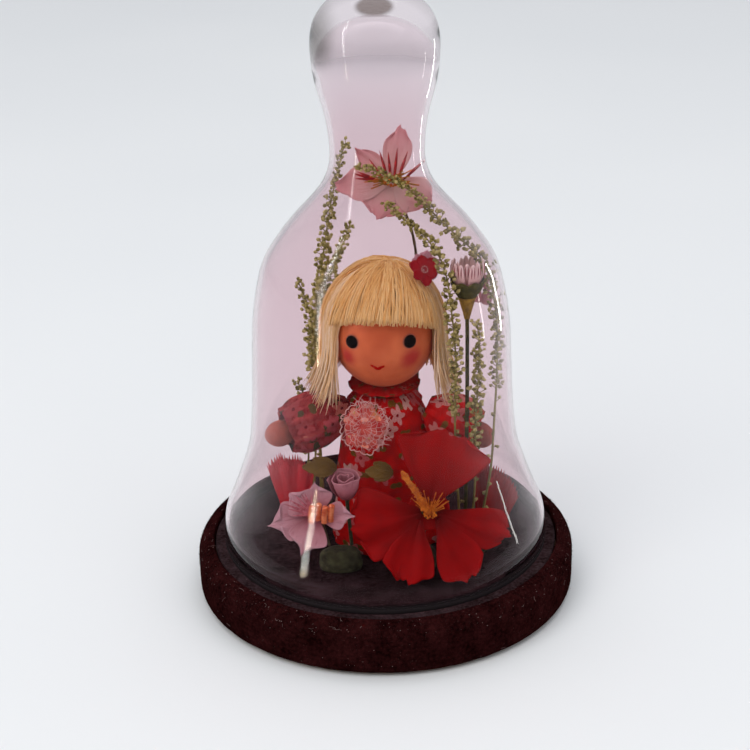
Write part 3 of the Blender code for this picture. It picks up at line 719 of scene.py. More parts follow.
def hair_cap(shape, azimuths, polars, lift, hang=None):
    """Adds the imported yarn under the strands, a sheet with grooves along them."""
    over, across = 14, 60

    def place(i, j):
        t = min(i, over)
        way = turned_way(between(*azimuths, j / across), between(*polars, t / over))
        spot = on_head(way, lift + 0.25 * math.sin(j * 2.1) * ease(t / 5))
        if i > over:
            spot.z = between(spot.z, hang, (i - over) / 5)
        return spot, (0.25 + 0.2 * math.sin((i * (across + 1) + j) * 7.7), 0.5)

    shape.grid(over + 1 if hang is None else over + 6, across + 1, place)


def lock(shape, draw, count, azimuths, hang, flare, lift, thick=0.30):
    """Long strands beside the face, gathered in wisps with frayed, uneven ends."""
    for k in range(count):
        azimuth = draw.uniform(*azimuths)
        wisp = math.sin(azimuth * 0.9) * 2.0
        low = hang + draw.uniform(-0.5, 9.0) * draw.random()
        end = turned_way(azimuth, 90)
        line = strand_line(CROWN + random_way(draw, 0.10), end, lift * draw.uniform(0.7, 1.05), low,
                           flare * draw.uniform(-0.2, 1.4), wisp + draw.uniform(-1.6, 1.6), draw)
        radii = [thick * (1 - 0.75 * max(0, (i - 12) / (len(line) - 13)) ** 2) for i in range(len(line))]
        shape.tube(line, radii, 5, draw.random())


def random_way(draw, size):
    return Vector((draw.gauss(0, size), draw.gauss(0, size), draw.gauss(0, size)))


def make_hair():
    gold = yarn_paint("yarn_gold", (0.62, 0.33, 0.09), (0.84, 0.54, 0.18), (0.95, 0.74, 0.34))
    pale = yarn_paint("yarn_pale", (0.68, 0.43, 0.16), (0.88, 0.67, 0.33), (0.97, 0.87, 0.60))
    draw = random.Random("hair")

    fringe = Bundle()
    hair_cap(fringe, (-64, 66), (3, 62), HAIR_CAP)
    for lift, count in ((HAIR_MID, 130), (HAIR_OUT, 230)):
        for k in range(count):
            azimuth = between(-60, 62, (k + draw.uniform(-0.6, 0.6)) / (count - 1))
            edge = 65.5 + draw.uniform(-2.4, 2.0) + 9.0 * (azimuth / 50) ** 2 + 0.04 * azimuth
            start = CROWN + random_way(draw, 0.07)
            line = strand_line(start, turned_way(azimuth, edge), lift * draw.uniform(0.85, 1.05), draw=draw)
            thick = draw.uniform(0.19, 0.30)
            fringe.tube(line, [thick] * (len(line) - 1) + [thick * 0.55], 5, draw.random())
    show("fringe_yarn", fringe, gold, replaces=["hair_fringe"])

    back = Bundle()
    hang = span("hair_back")[0].z
    hair_cap(back, (62, 298), (3, 90), HAIR_CAP, hang + 4)
    for lift, count in ((HAIR_MID, 150), (HAIR_OUT, 230)):
        for k in range(count):
            azimuth = between(84, 278, (k + draw.uniform(-0.6, 0.6)) / (count - 1))
            end = turned_way(azimuth, 90)
            start = CROWN + random_way(draw, 0.08)
            low = hang + draw.uniform(-0.6, 3.0)
            line = strand_line(start, end, lift * draw.uniform(0.85, 1.05), low,
                               draw.uniform(-0.4, 0.9), draw.uniform(-0.9, 0.9), draw)
            thick = draw.uniform(0.24, 0.38)
            back.tube(line, [thick] * (len(line) - 1) + [thick * 0.4], 5, draw.random())
    show("back_yarn", back, gold, replaces=["hair_back"])

    for node, azimuths, cap in (("hair_lock_left", (-100, -52), (-98, -58)),
                                ("hair_lock_right", (57, 100), (60, 98))):
        shape = Bundle()
        hang = span(node)[0].z
        hair_cap(shape, cap, (20, 90), HAIR_CAP, hang + 9)
        long = hang - (3.4 if node.endswith("left") else 1.0)
        lift, flare = (HAIR_OUT - 0.8, 5.2) if node.endswith("left") else (HAIR_OUT, 3.6)
        lock(shape, draw, 120, azimuths, long, flare, lift, 0.24)
        lock(shape, draw, 70, azimuths, long + 1.5, flare * 0.5, lift - 1.2, 0.24)
        show(node.replace("hair_", "yarn_"), shape, pale, replaces=[node])


def cloth_cone(node, centre_x):
    """A turned garment's outer surface with soft folds, its UVs in centimetres of cloth."""
    outline = meridian(node, centre_x)
    outer = sorted({z: r for r, z in sorted(outline)}.items())
    heights, radii = zip(*outer)
    rows, cols, folds = 40, 180, 0.35

    def point(i, k):
        z, a, share = between(heights[0], heights[-1], i / rows), math.tau * k / cols, 1 - i / rows
        wave = math.sin(11 * a) + 0.6 * math.sin(17 * a + 3 * share)
        r = float(np.interp(z, heights, radii)) + folds * wave * (0.25 + 0.75 * share) - folds
        return Vector((centre_x, 0, 0)) + spun(a, r, z), (a * 1.5, z / 10)

    return Bundle().grid(rows + 1, cols, point, wrap=True)


RED_PRINT = dict(ground=(0.74, 0.004, 0.004), deep=(0.46, 0.002, 0.003),
                 flowers=((0.78, 0.42, 0.38), (0.62, 0.10, 0.11), (0.80, 0.56, 0.46)),
                 heart=(0.30, 0.006, 0.010), leaf=(0.12, 0.075, 0.012))
ROSE_PRINT = dict(ground=(0.40, 0.060, 0.060), deep=(0.20, 0.018, 0.022),
                  flowers=((0.52, 0.12, 0.13), (0.32, 0.030, 0.05), (0.66, 0.24, 0.17)),
                  heart=(0.15, 0.012, 0.018), leaf=(0.055, 0.050, 0.028))


def make_dress():
    shape = cloth_cone("dress", head_frame()[0].x)
    red = print_paint("cotton_red_print", size=8.4, full=0.31, **RED_PRINT)
    dress = show("printed_dress", shape, red, replaces=["dress"], thick=0.5)

    low, high, middle = span("collar")
    radius = (high.x - low.x) / 2 - 0.9

    def point(i, k):
        t, a, under = 1 - abs(i - 6) / 6, math.tau * k / 200, 0.9 if i > 6 else 0.0
        ripple = math.sin(17 * a) * 0.45 * t + math.sin(6 * a) * 0.2 * t
        r = between(radius * 0.50, radius, t) + 0.25 * ripple
        z = between(high.z - 0.6, low.z + 1.4, t ** 1.2) + ripple * 0.55 - under * (1.1 - t)
        return Vector((middle.x, middle.y, 0)) + spun(a, r, z), (k * 0.04, i * 0.11)

    ruff = Bundle().grid(13, 200, point, wrap=True)
    cloth = print_paint("collar_cotton", (0.52, 0.008, 0.007), (0.34, 0.004, 0.004),
                        ((0.10, 0.08, 0.02), (0.34, 0.02, 0.02), (0.50, 0.16, 0.12)),
                        (0.12, 0.003, 0.004), (0.09, 0.08, 0.02), 6.5, full=0.20, leafy=0.10)
    collar = show("gathered_collar", ruff, cloth, replaces=["collar"], thick=0.3)
    return red


def make_arm(side, cotton):
    arm_points = merged(f"arm_{side}")[0]
    sleeve_points = merged(f"sleeve_{side}")[0]
    middle, ways = principal(f"arm_{side}")
    out = ways[0] if ways[0].x * (1 if side == "right" else -1) > 0 else -ways[0]
    reach = [(p - middle).dot(out) for p in arm_points]
    start, end = min(reach), max(reach)
    place = Matrix.Translation(middle) @ laid(out)

    palm = 4.2
    end -= 1.8
    outline = [(0, start), (2.3, start), (2.6, end - 2.3 * palm)]
    outline += [(palm * math.sin(a), end - palm * 1.15 * (1 + math.cos(a))) for a in
                (math.radians(d) for d in range(35, 180, 8))]
    outline.append((0, end))
    hand = lathe(outline, 40)
    hand.moved(lambda v: place @ roughened(v, 3.0, 0.12))
    skin = plain_paint(f"felt_skin_{side}", (0.25, 0.034, 0.012), (0.36, 0.056, 0.022), 3.0, 0.9, 0.12, 0.35)
    welded(show(f"felt_hand_{side}", hand, skin, replaces=[f"arm_{side}"]))

    along = [(p - middle).dot(out) for p in sleeve_points]
    away = [((p - middle) - out * (p - middle).dot(out)).length for p in sleeve_points]
    high, widest = max(along), max(away)
    low = min(along) - (6.0 if side == "left" else 4.0)
    rows, cols = 34, 150

    def point(i, k):
        t, a = i / rows, math.tau * k / cols
        puff = between(0.45, 1.04, math.sin(math.pi / 2 * min(t / 0.55, 1.0))) * widest
        tuck = 1 - 0.20 * ease((t - 0.72) / 0.28)
        crease = math.sin(9 * a + 2.3 * t) * 0.42 + math.sin(16 * a - 3 * t) * 0.20
        spot = spun(a, puff * tuck + crease * (0.5 + t) - 0.4, between(low, high, t))
        return place @ roughened(spot, 4.0, 0.35), (a * 0.85, t * (high - low) / 10)

    sleeve = Bundle().grid(rows + 1, cols, point, wrap=True)
    cloth = show(f"puffed_sleeve_{side}", sleeve, cotton, replaces=[f"sleeve_{side}"], thick=0.45)


def make_lace():
    """A scrap of coral print with a net of fine thread sewn over it, frayed at the upper right."""
    middle, normal = plane_of("lace_rosette")
    low, high, _ = span("lace_rosette")
    wide, tall = (high.x - low.x) / 2, (high.z - low.z) / 2
    place = facing(middle, UP, normal)
    draw = random.Random("lace")

    def oval(a, r, height):
        return Vector((r * wide * math.cos(a), r * tall * math.sin(a), height))

    def point(i, k):
        u, a = i / 12, math.tau * k / 72
        edge = 0.86 + 0.06 * math.sin(5 * a + 1) + 0.04 * math.sin(12 * a)
        bulge = 1.5 * (1 - u * u) + 0.7 * math.sin(5 * a + 6 * u) * u + 0.3 * math.sin(11 * a) * u
        spot = place @ roughened(oval(a, u * edge, bulge), 3.0, 0.8)
        return spot, (spot.x / 10, spot.z / 10)

    patch = Bundle().grid(13, 72, point, wrap=True)
    coral = print_paint("coral_print", (0.74, 0.16, 0.12), (0.56, 0.05, 0.05),
                        ((0.70, 0.08, 0.08), (0.80, 0.34, 0.26), (0.80, 0.28, 0.10)),
                        (0.70, 0.42, 0.16), (0.66, 0.34, 0.28), 5.5)
    show("rosette_patch", patch, coral, replaces=["lace_rosette"], thick=0.3)

    net = Bundle()
    for ring in range(4):
        share = 0.34 + 0.20 * ring
        loops = 7 + 5 * ring
        line = []
        for k in range(loops * 8 + 1):
            a = math.tau * k / (loops * 8)
            r = share + 0.075 * abs(math.sin(loops * a / 2))
            spot = oval(a, r, 1.9 * (1 - share * share) + 0.6)
            line.append(place @ roughened(spot, 3.5, 1.1, 4.0))
        net.tube(line, 0.09 if ring < 3 else 0.17, 5)
    for k in range(30):
        a = math.tau * k / 30 + draw.uniform(-0.12, 0.12)
        start, stop = draw.uniform(0.1, 0.35), draw.uniform(0.85, 1.02)
        line = []
        for t in (0, 0.25, 0.5, 0.75, 1):
            r, b = between(start, stop, t), a + 0.25 * t + draw.uniform(-0.04, 0.04)
            line.append(place @ roughened(oval(b, r, 1.9 * (1 - r * r) + 0.7), 3.5, 1.1, 4.0))
        net.tube(smooth_line(line, 3), 0.07, 4)
    for k in range(46):
        a = math.radians(draw.uniform(-40, 115))
        way = Vector((math.cos(a), math.sin(a), 0))
        aside = Vector((-way.y, way.x, 0)) * draw.uniform(-2.2, 2.2)
        root = Vector((way.x * wide, way.y * tall, 0.6)) * draw.uniform(0.7, 0.95)
        reach = draw.uniform(1.0, 3.2)
        line = [root + way * reach * t + aside * t * t + Vector((0, 0, draw.uniform(0, 0.5)))
                for t in (0, 0.4, 0.7, 1)]
        net.tube([place @ Vector(p) for p in smooth_line(line, 3)], 0.09, 4)
    thread = plain_paint("lace_thread", (0.66, 0.36, 0.32), (0.84, 0.62, 0.56), 3.0, 0.8, 0.03, 0.15)
    show("lace_net", net, thread)


# ---------------------------------------------------------------- flowers

def petal(shape, angle, length, half_width, root=2.0, cup=2.0, droop=0.0, lift=0.0, point=0.0, folds=0.35,
          fan=0.72, wide_root=0.18, belly=1.0, seed=0.0, rows=34, cols=26, ribs=0.10):
    """Adds one silk petal in its flower's plane, its uvs across and along it."""
    a = math.radians(angle)
    along, side = Vector((math.cos(a), math.sin(a), 0)), Vector((-math.sin(a), math.cos(a), 0))

    def place(i, j):
        u, v = i / rows, 2 * j / cols - 1
        swell = wide_root + (1 - wide_root) * math.sin(math.pi / 2 * min(u / fan, 1.0)) ** belly
        tip = max(u - fan, 0.0) / (1 - fan)
        spread = half_width * swell * (1 - (0.42 + 0.5 * point) * tip ** 2)
        edge = 1 - 0.12 * v * v * u - point * 0.22 * abs(v) * tip
        edge += 0.030 * math.sin(7 * v + seed) * tip + 0.016 * math.sin(17 * v + 2 * seed) * tip
        out = root + (length - root) * u * edge
        wavy = spread * (1 + 0.035 * math.sin(9 * u + seed) * u)
        fold = math.sin(5.5 * v + seed + u) * 0.75 + math.sin(9 * v - 1.5 * u + 2 * seed) * 0.35
        height = lift + cup * u * (1 - 0.5 * u) + cup * 0.4 * v * v * u - droop * u * u
        height += (folds * fold + ribs * math.sin(38 * v)) * u
        height -= 0.35 * folds * math.exp(-(v / 0.16) ** 2) * (1 - u * 0.6)
        spot = along * out + side * (v * wavy) + UP * height
        return roughened(spot, 5.0, 0.30 * u, seed), ((v + 1) / 2 + seed, u)

    shape.grid(rows + 1, cols + 1, place)


HIBISCUS_NORMAL = (0, -0.90, 0.43)
HIBISCUS = {  # angle, length, half width, cup, droop, lift, folds, share of the node's width and height
    "top": (74, 27.0, 15.0, 2.0, 0.0, 1.2, 1.0, (0, 1), (0, 1)),
    "right": (-22, 27.5, 7.4, 2.0, 6.0, -1.0, 0.6, (0, 1), (0.12, 1)),
    "lower_right": (-61, 25.4, 8.6, 2.0, -1.0, 0.0, 0.7, (0.12, 1), (0, 1)),
    "lower_left": (-106, 23.5, 9.6, 2.0, -1.0, 1.0, 0.7, (-0.08, 0.80), (0, 1)),
    "left": (191, 25.5, 11.8, 2.0, 0.5, 0.0, 0.8, (0, 1), (-0.04, 1)),
}


def make_hibiscus():
    silk = silk_paint("silk_scarlet", (0.10, 0.0003, 0.0004), (0.27, 0.0005, 0.0008), (0.36, 0.0009, 0.0013),
                      (0.13, 0.0003, 0.0005), 0.45)
    turn = facing((0, 0, 0), UP, HIBISCUS_NORMAL)
    for k, (name, (angle, length, half, cup, droop, lift, folds, wide, tall)) in enumerate(HIBISCUS.items()):
        shape = Bundle()
        petal(shape, angle, length, half, 2.6, cup, droop, lift, folds=folds, fan=0.86, belly=1.35,
                         wide_root=0.14, seed=1.7 * k, rows=44, cols=36, ribs=0.03)
        node = f"hibiscus_petal_{name}"
        shape.moved(lambda v: turn @ v).fitted(node, 0.3, (wide, (0, 1), tall))
        show(f"silk_petal_{name}", shape, silk, replaces=[node], thick=0.3)

    middle, ways = principal("hibiscus_column")
    way = ways[0] if ways[0].z > 0 else -ways[0]
    reach = max((p - middle).dot(way) for p in merged("hibiscus_column")[0])
    foot = min(merged("hibiscus_column")[0], key=lambda p: p.z)
    base = Vector((foot.x + 0.6, foot.y, foot.z + 0.8))
    throat = lathe([(0.0, -0.6), (3.0, -0.3), (6.0, 0.5), (6.6, 0.7)], 48)
    place = facing(base + Vector((0, 2.8, -0.6)), UP, HIBISCUS_NORMAL)
    throat.moved(lambda v: place @ roughened(v, 2.5, 0.3))
    show("silk_throat", throat, silk, thick=0.3)
    yellow = plain_paint("pollen_flock", (0.46, 0.10, 0.004), (0.80, 0.27, 0.012), 1.6, 0.9, 0.2, 0.3)
    column = Bundle()
    line = smooth_line([base, between(base, middle, 0.5) + FRONT * 0.8, middle, middle + way * reach], 6)
    radii = [1.15 + 0.12 * math.sin(k * 2.3) - 0.3 * k / len(line) for k in range(len(line))]
    radii[-1] = 0.5
    column.tube(line, radii, 14)
    column.moved(lambda v: roughened(v, 0.9, 0.22))
    draw = random.Random("pollen")
    for k in range(190):
        t = draw.uniform(0.15, 1.0)
        spot = Vector(line[int(t * (len(line) - 1))])
        out = (way.orthogonal().normalized())
        out = Matrix.Rotation(draw.uniform(0, math.tau), 3, way) @ out
        column.grain(spot + out * 1.12, out, 0.5, 0.42, 0.5, 3, 5)
    show("pollen_column", column, yellow, replaces=["hibiscus_column"])

    threads = Bundle()
    for k in range(26):
        a = math.radians(between(20, 150, k / 25) + draw.uniform(-5, 5))
        aim = (turn @ Vector((math.cos(a), math.sin(a), draw.uniform(0.25, 0.8)))).normalized()
        long = draw.uniform(3.5, 9.0)
        end = base + aim * long + FRONT * 0.6
        line = smooth_line([base + aim * 0.5, base + aim * long * 0.5 + FRONT * 0.9, end], 4)
        threads.tube(line, 0.14, 5)
        threads.grain(end, aim, 0.9, 0.5, 0.5, 3, 5)
    for k in range(40):
        a, r = draw.uniform(0, math.tau), 2.6 * math.sqrt(draw.random())
        spot = base + turn @ Vector((r * math.cos(a), 0.8 * r * math.sin(a), draw.uniform(0.2, 1.4)))
        threads.grain(spot, UP, 1.0, 0.9, 0.5, 3, 5)
    show("pollen_threads", threads, yellow)

    flower_cup("hibiscus_calyx", "green_cup_hibiscus")
    wire("hibiscus_wire", "wire_hibiscus")


LEAF_GREEN = plain_paint("leaf_green", (0.018, 0.036, 0.012), (0.060, 0.085, 0.028), 2.2, 0.75, 0.06, 0.5)
WIRE_DARK = plain_paint("wire_wrap", (0.05, 0.04, 0.018), (0.12, 0.10, 0.04), 1.0, 0.6, 0.05, 0.3)


def flower_cup(node, name, paint=None):
    """The cup behind a flower, ribbed and split into sepals at its mouth."""
    middle, ways = principal(node)
    points = merged(node)[0]
    way = ways[0] if ways[0].y > 0 else -ways[0]
    along = [(p - middle).dot(way) for p in points]
    wide = max(((p - middle) - way * (p - middle).dot(way)).length for p in points)
    place = Matrix.Translation(middle) @ laid(way)
    low, high = min(along), max(along)

    def point(i, k):
        t, a = i / 14, math.tau * k / 60
        split = 0.5 + 0.5 * math.cos(5 * a)
        r = wide * (1 - 0.62 * t ** 0.7) * (0.93 + 0.07 * split)
        z = between(low, high, t) - 0.9 * split * (1 - t) ** 3
        return place @ spun(a, r, z), (k / 60, t)

    shape = Bundle().grid(15, 60, point, wrap=True)
    shape.faces.append(tuple(14 * 60 + k for k in range(60)))
    show(name, shape, paint or LEAF_GREEN, replaces=[node], thick=0.2)


def wire(node, name):
    """A thin wire in its paper wrap, along its node's own route."""
    rings = centreline(node, 1.2)
    line = smooth_line([tuple(p) for p, r in rings], 4)
    wrap = [rings[0][1] * (1 + 0.10 * math.sin(k * 1.9)) for k in range(len(line))]
    show(name, Bundle().tube(line, wrap, 10), WIRE_DARK, replaces=[node])


PINK_PETALS = [(195, 15.6, 6.6), (253, 13.5, 6.4), (143, 11.5, 5.6), (96, 11.0, 5.6), (2, 12.5, 4.6)]
TOP_PETALS = [(80, 18.0, 4.7), (137, 15.5, 3.3), (186, 18.0, 6.0), (248, 13.5, 8.2), (322, 14.5, 6.4)]


def blossom(node, name, petals, normal, paint, point=0.8, cup_height=1.6, folds=0.35, thick=0.25,
            rows=26, cols=18):
    """A blossom of separate petals in one plane, stretched to its node's box."""
    turn = facing((0, 0, 0), UP, normal)
    shape = Bundle()
    for k, (angle, length, half) in enumerate(petals):
        petal(shape, angle, length, half, 0.8, cup_height, lift=0.25 * (k % 3), point=point,
                         folds=folds, seed=2.3 * k, fan=0.6, rows=rows, cols=cols)
    shape.moved(lambda v: turn @ v).fitted(node, thick)
    return show(name, shape, paint, replaces=[node], thick=thick)


def spikes(shape, middle, turn, angles, lengths, wide, tilt, draw, apart=0.0):
    """Tapered stamens fanned out from a flower's middle, their roots apart along its width."""
    for angle, length in zip(angles, lengths):
        a = math.radians(angle + draw.uniform(-3, 3))
        aim = (turn @ Vector((math.cos(a), math.sin(a), tilt))).normalized()
        root = middle + turn @ Vector((apart * math.cos(a), 0, 0))
        line = [root + aim * length * t for t in (0, 0.25, 0.5, 0.75, 1)]
        shape.tube(line, [wide * s for s in (0.35, 0.8, 1.0, 0.7, 0.12)], 6, draw.random())


def make_pink_blossom():
    silk = silk_paint("silk_pale_pink", (0.26, 0.04, 0.055), (0.50, 0.27, 0.30), (0.62, 0.42, 0.46),
                      (0.34, 0.12, 0.15), 0.5)
    normal = (-0.12, -0.86, 0.50)
    blossom("pink_blossom_petals", "pink_petals", PINK_PETALS, normal, silk)
    draw = random.Random("pink")
    turn = facing((0, 0, 0), UP, normal)
    middle = span("pink_blossom_stamens")[2]
    rosy = plain_paint("filament_rose", (0.30, 0.06, 0.08), (0.55, 0.20, 0.24), 1.2, 0.6, 0.02, 0.3)
    shape = Bundle()
    angles = [160, 148, 136, 124, 112, 101, 172, 184]
    spikes(shape, middle, turn, angles, [9.5, 9.0, 8.6, 8.0, 7.6, 7.2, 8.4, 7.0], 0.46, 0.35, draw)
    show("pink_filaments", shape, rosy, replaces=["pink_blossom_stamens"])
    amber = plain_paint("amber_tuft", (0.50, 0.07, 0.012), (0.90, 0.34, 0.13), 2.2, 0.35, 0.08, 0.4)
    tuft = Bundle()
    for k in range(4):
        foot = middle + Vector((-1.0 + 2.0 * k, -0.8 + 0.5 * (k % 2), -2.0 + 0.5 * math.sin(2.0 * k)))
        line = [foot + UP * (6.2 * t) + Vector((0.7 * t * t, -0.9 * t, 0))
                for t in (0, 0.2, 0.4, 0.6, 0.8, 1)]
        radii = [0.95 + 0.07 * math.sin(1.9 * i + k) for i in range(20)] + [0.5]
        tuft.tube(smooth_line(line, 4), radii, 12, draw.random())
    show("amber_stamens", tuft, amber)
    flower_cup("pink_blossom_calyx", "green_cup_pink", amber)
    wire("pink_blossom_wire", "wire_pink")


def make_top_blossom():
    silk = silk_paint("silk_rose_pink", (0.80, 0.60, 0.54), (0.72, 0.46, 0.44), (0.66, 0.30, 0.32),
                      (0.58, 0.24, 0.26), 0.35)
    normal = (0.0, -0.92, 0.39)
    blossom("top_blossom_petals", "rose_petals", TOP_PETALS, normal, silk, point=0.3,
            cup_height=1.2, folds=0.5)
    draw = random.Random("top")
    turn = facing((0, 0, 0), UP, normal)
    middle = span("top_blossom_stamens")[2]
    dark = plain_paint("filament_dark", (0.20, 0.002, 0.004), (0.44, 0.008, 0.010), 1.4, 0.5, 0.02, 0.3)
    shape = Bundle()
    angles = [121, 108, 97, 86, 72, 44, 158, 166, 174]
    lengths = [8.4, 9.8, 9.0, 10.2, 9.6, 9.4, 7.4, 8.6, 7.2]
    spikes(shape, middle, turn, angles, lengths, 0.50, 0.34, draw, 4.5)
    show("dark_filaments", shape, dark, replaces=["top_blossom_stamens"])
    gold = plain_paint("flower_heart", (0.20, 0.16, 0.012), (0.70, 0.16, 0.03), 2.0, 0.8, 0.1, 0.4)
    heart = Bundle()
    for k in range(80):
        a, r = draw.uniform(0, math.tau), 3.2 * math.sqrt(draw.random())
        spot = middle + turn @ Vector((r * math.cos(a), r * 0.6 * math.sin(a), draw.uniform(-0.4, 1.0)))
        heart.grain(spot, FRONT, 1.2, 0.9, draw.random(), 3, 5)
    for k in range(22):
        a = math.radians(draw.choice((draw.uniform(140, 215), draw.uniform(-40, 60))))
        way = turn @ Vector((math.cos(a), 0.6 * math.sin(a), draw.uniform(0.1, 0.5)))
        line = [middle + way * draw.uniform(5.0, 8.5) * t + FRONT * (0.8 * t) for t in (0, 0.5, 1)]
        heart.tube(smooth_line(line, 4), 0.22, 5, draw.random())
    show("flower_heart", heart, gold)
    flower_cup("top_blossom_calyx", "green_cup_top")
    wire("top_blossom_wire", "wire_top")


def make_rosebud():
    """Lilac silk rolled up round a stem, its layers flaring at the mouth."""
    points = merged("rosebud")[0]
    low, high, _ = span("rosebud")
    foot = min(points, key=lambda p: p.z)
    head = [p for p in points if p.z > between(low.z, high.z, 0.72)]
    middle = sum(head, Vector()) / len(head)
    stem_foot = Vector((foot.x + 0.5, foot.y + 0.5, low.z))
    way = (middle - stem_foot).normalized()
    place = Matrix.Translation(middle) @ laid(way)
    turns, rows, cols = 2.6, 20, 150

    def point(i, k):
        t, s = i / rows, k / cols
        a = math.tau * turns * s
        r = between(1.0, 4.7, s) * (0.28 + 0.72 * math.sin(math.pi * min(0.12 + 0.60 * t, 0.5)))
        r += 0.9 * s * t ** 4 + 0.25 * math.sin(5 * a) * t * t
        z = between(-4.2, between(3.6, 3.0, s) + 0.45 * math.sin(2.2 * a), t)
        return place @ spun(a, r, z), (turns * s, t)

    shape = Bundle().grid(rows + 1, cols + 1, point)
    silk = silk_paint("silk_lilac_fold", (0.22, 0.04, 0.05), (0.42, 0.15, 0.18), (0.58, 0.30, 0.34),
                      (0.28, 0.07, 0.09), 0.4)
    show("rolled_rosebud", shape, silk, replaces=["rosebud"], thick=0.25)
    line = smooth_line([stem_foot, between(stem_foot, middle, 0.5), middle - way * 3.6], 6)
    show("rosebud_stem", Bundle().tube(line, 0.6, 10), LEAF_GREEN)


RAISED = Vector((0, 0, 4.0))  # the daisy's head stands this much higher on its stalk


def make_daisy():
    rings = centreline("daisy_stem", 2.0)
    line = smooth_line([tuple(p) for p, r in rings], 4)
    low, high, middle = (corner + RAISED for corner in span("daisy_calyx"))
    green = plain_paint("stem_green", (0.035, 0.042, 0.006), (0.10, 0.095, 0.015), 2.0, 0.8, 0.05, 0.3,
                        Specular_IOR_Level=0.15)
    show("stalk_daisy", Bundle().tube(line, 0.62, 10), green, replaces=["daisy_stem"])
    cone = lathe([(0.0, low.z - 7.0), (0.8, low.z - 6.8), (1.5, low.z - 4.0), (2.5, low.z - 0.4),
                  (3.0, low.z + 0.9), (0.0, low.z + 0.9)], 36, centre=(middle.x, middle.y))
    cone.moved(lambda v: roughened(v, 2.0, 0.22))
    olive = plain_paint("cone_olive", (0.20, 0.12, 0.008), (0.42, 0.27, 0.02), 2.2, 0.8, 0.1, 0.5)
    welded(show("daisy_cone", cone, olive))

    def point(i, k):
        t, a = i / 14, math.tau * k / 120
        sepal = abs(math.sin(4 * a))
        r = (high.x - low.x) / 2 * (0.30 + 0.70 * math.sin(math.pi / 2 * t)) + 0.25 * sepal
        z = between(low.z - 0.4, high.z, t) + 1.0 * (sepal - 0.6) * t ** 3
        return Vector((middle.x, middle.y, 0)) + spun(a, r, z), (k / 120, t)

    show("daisy_sepals", Bundle().grid(15, 120, point, wrap=True), green,
         replaces=["daisy_calyx"], thick=0.3)

    low, high, middle = (corner + RAISED for corner in span("daisy_bud"))
    silk = silk_paint("silk_white_pink", (0.55, 0.22, 0.20), (0.80, 0.56, 0.52), (0.92, 0.80, 0.76),
                      (0.74, 0.40, 0.40), 0.35)
    petals, strokes = Bundle(), Bundle()
    draw = random.Random("daisy")
    tall = high.z - low.z
    for k in range(15):
        a = math.tau * k / 15 + draw.uniform(-0.08, 0.08)
        root, belly = (2.0, 1.4) if k % 3 == 2 else (2.6, 2.4)
        out, side = spun(a, 1.0), Vector((-math.sin(a), math.cos(a), 0))
        base = Vector((middle.x, middle.y, low.z))

        def reach(t):
            return root + belly * math.sin(math.pi * (0.05 + 0.62 * t))

        def point(i, j):
            t, v = i / 12, j / 3 - 1
            half = 1.35 * math.sin(math.pi * (0.18 + 0.74 * t)) ** 0.7
            spot = out * (reach(t) - 0.35 * v * v) + side * (v * half) + UP * (tall * t * (1 - 0.08 * v * v))
            return base + spot, ((v + 1) / 2 + k, t)

        petals.grid(13, 7, point)
        for v in (-0.45, 0.35):
            line = [base + out * (reach(t) + 0.08) + side * v * 1.1 + UP * (tall * t)
                    for t in (0.52, 0.66, 0.80, 0.92)]
            strokes.tube(line, [0.05, 0.17, 0.15, 0.04], 5)
    show("daisy_petals", petals, silk, replaces=["daisy_bud"], thick=0.25)
    ink = plain_paint("petal_ink", (0.18, 0.008, 0.015), (0.36, 0.03, 0.045), 1.0, 0.7, 0.02, 0.3)
    show("daisy_streaks", strokes, ink)


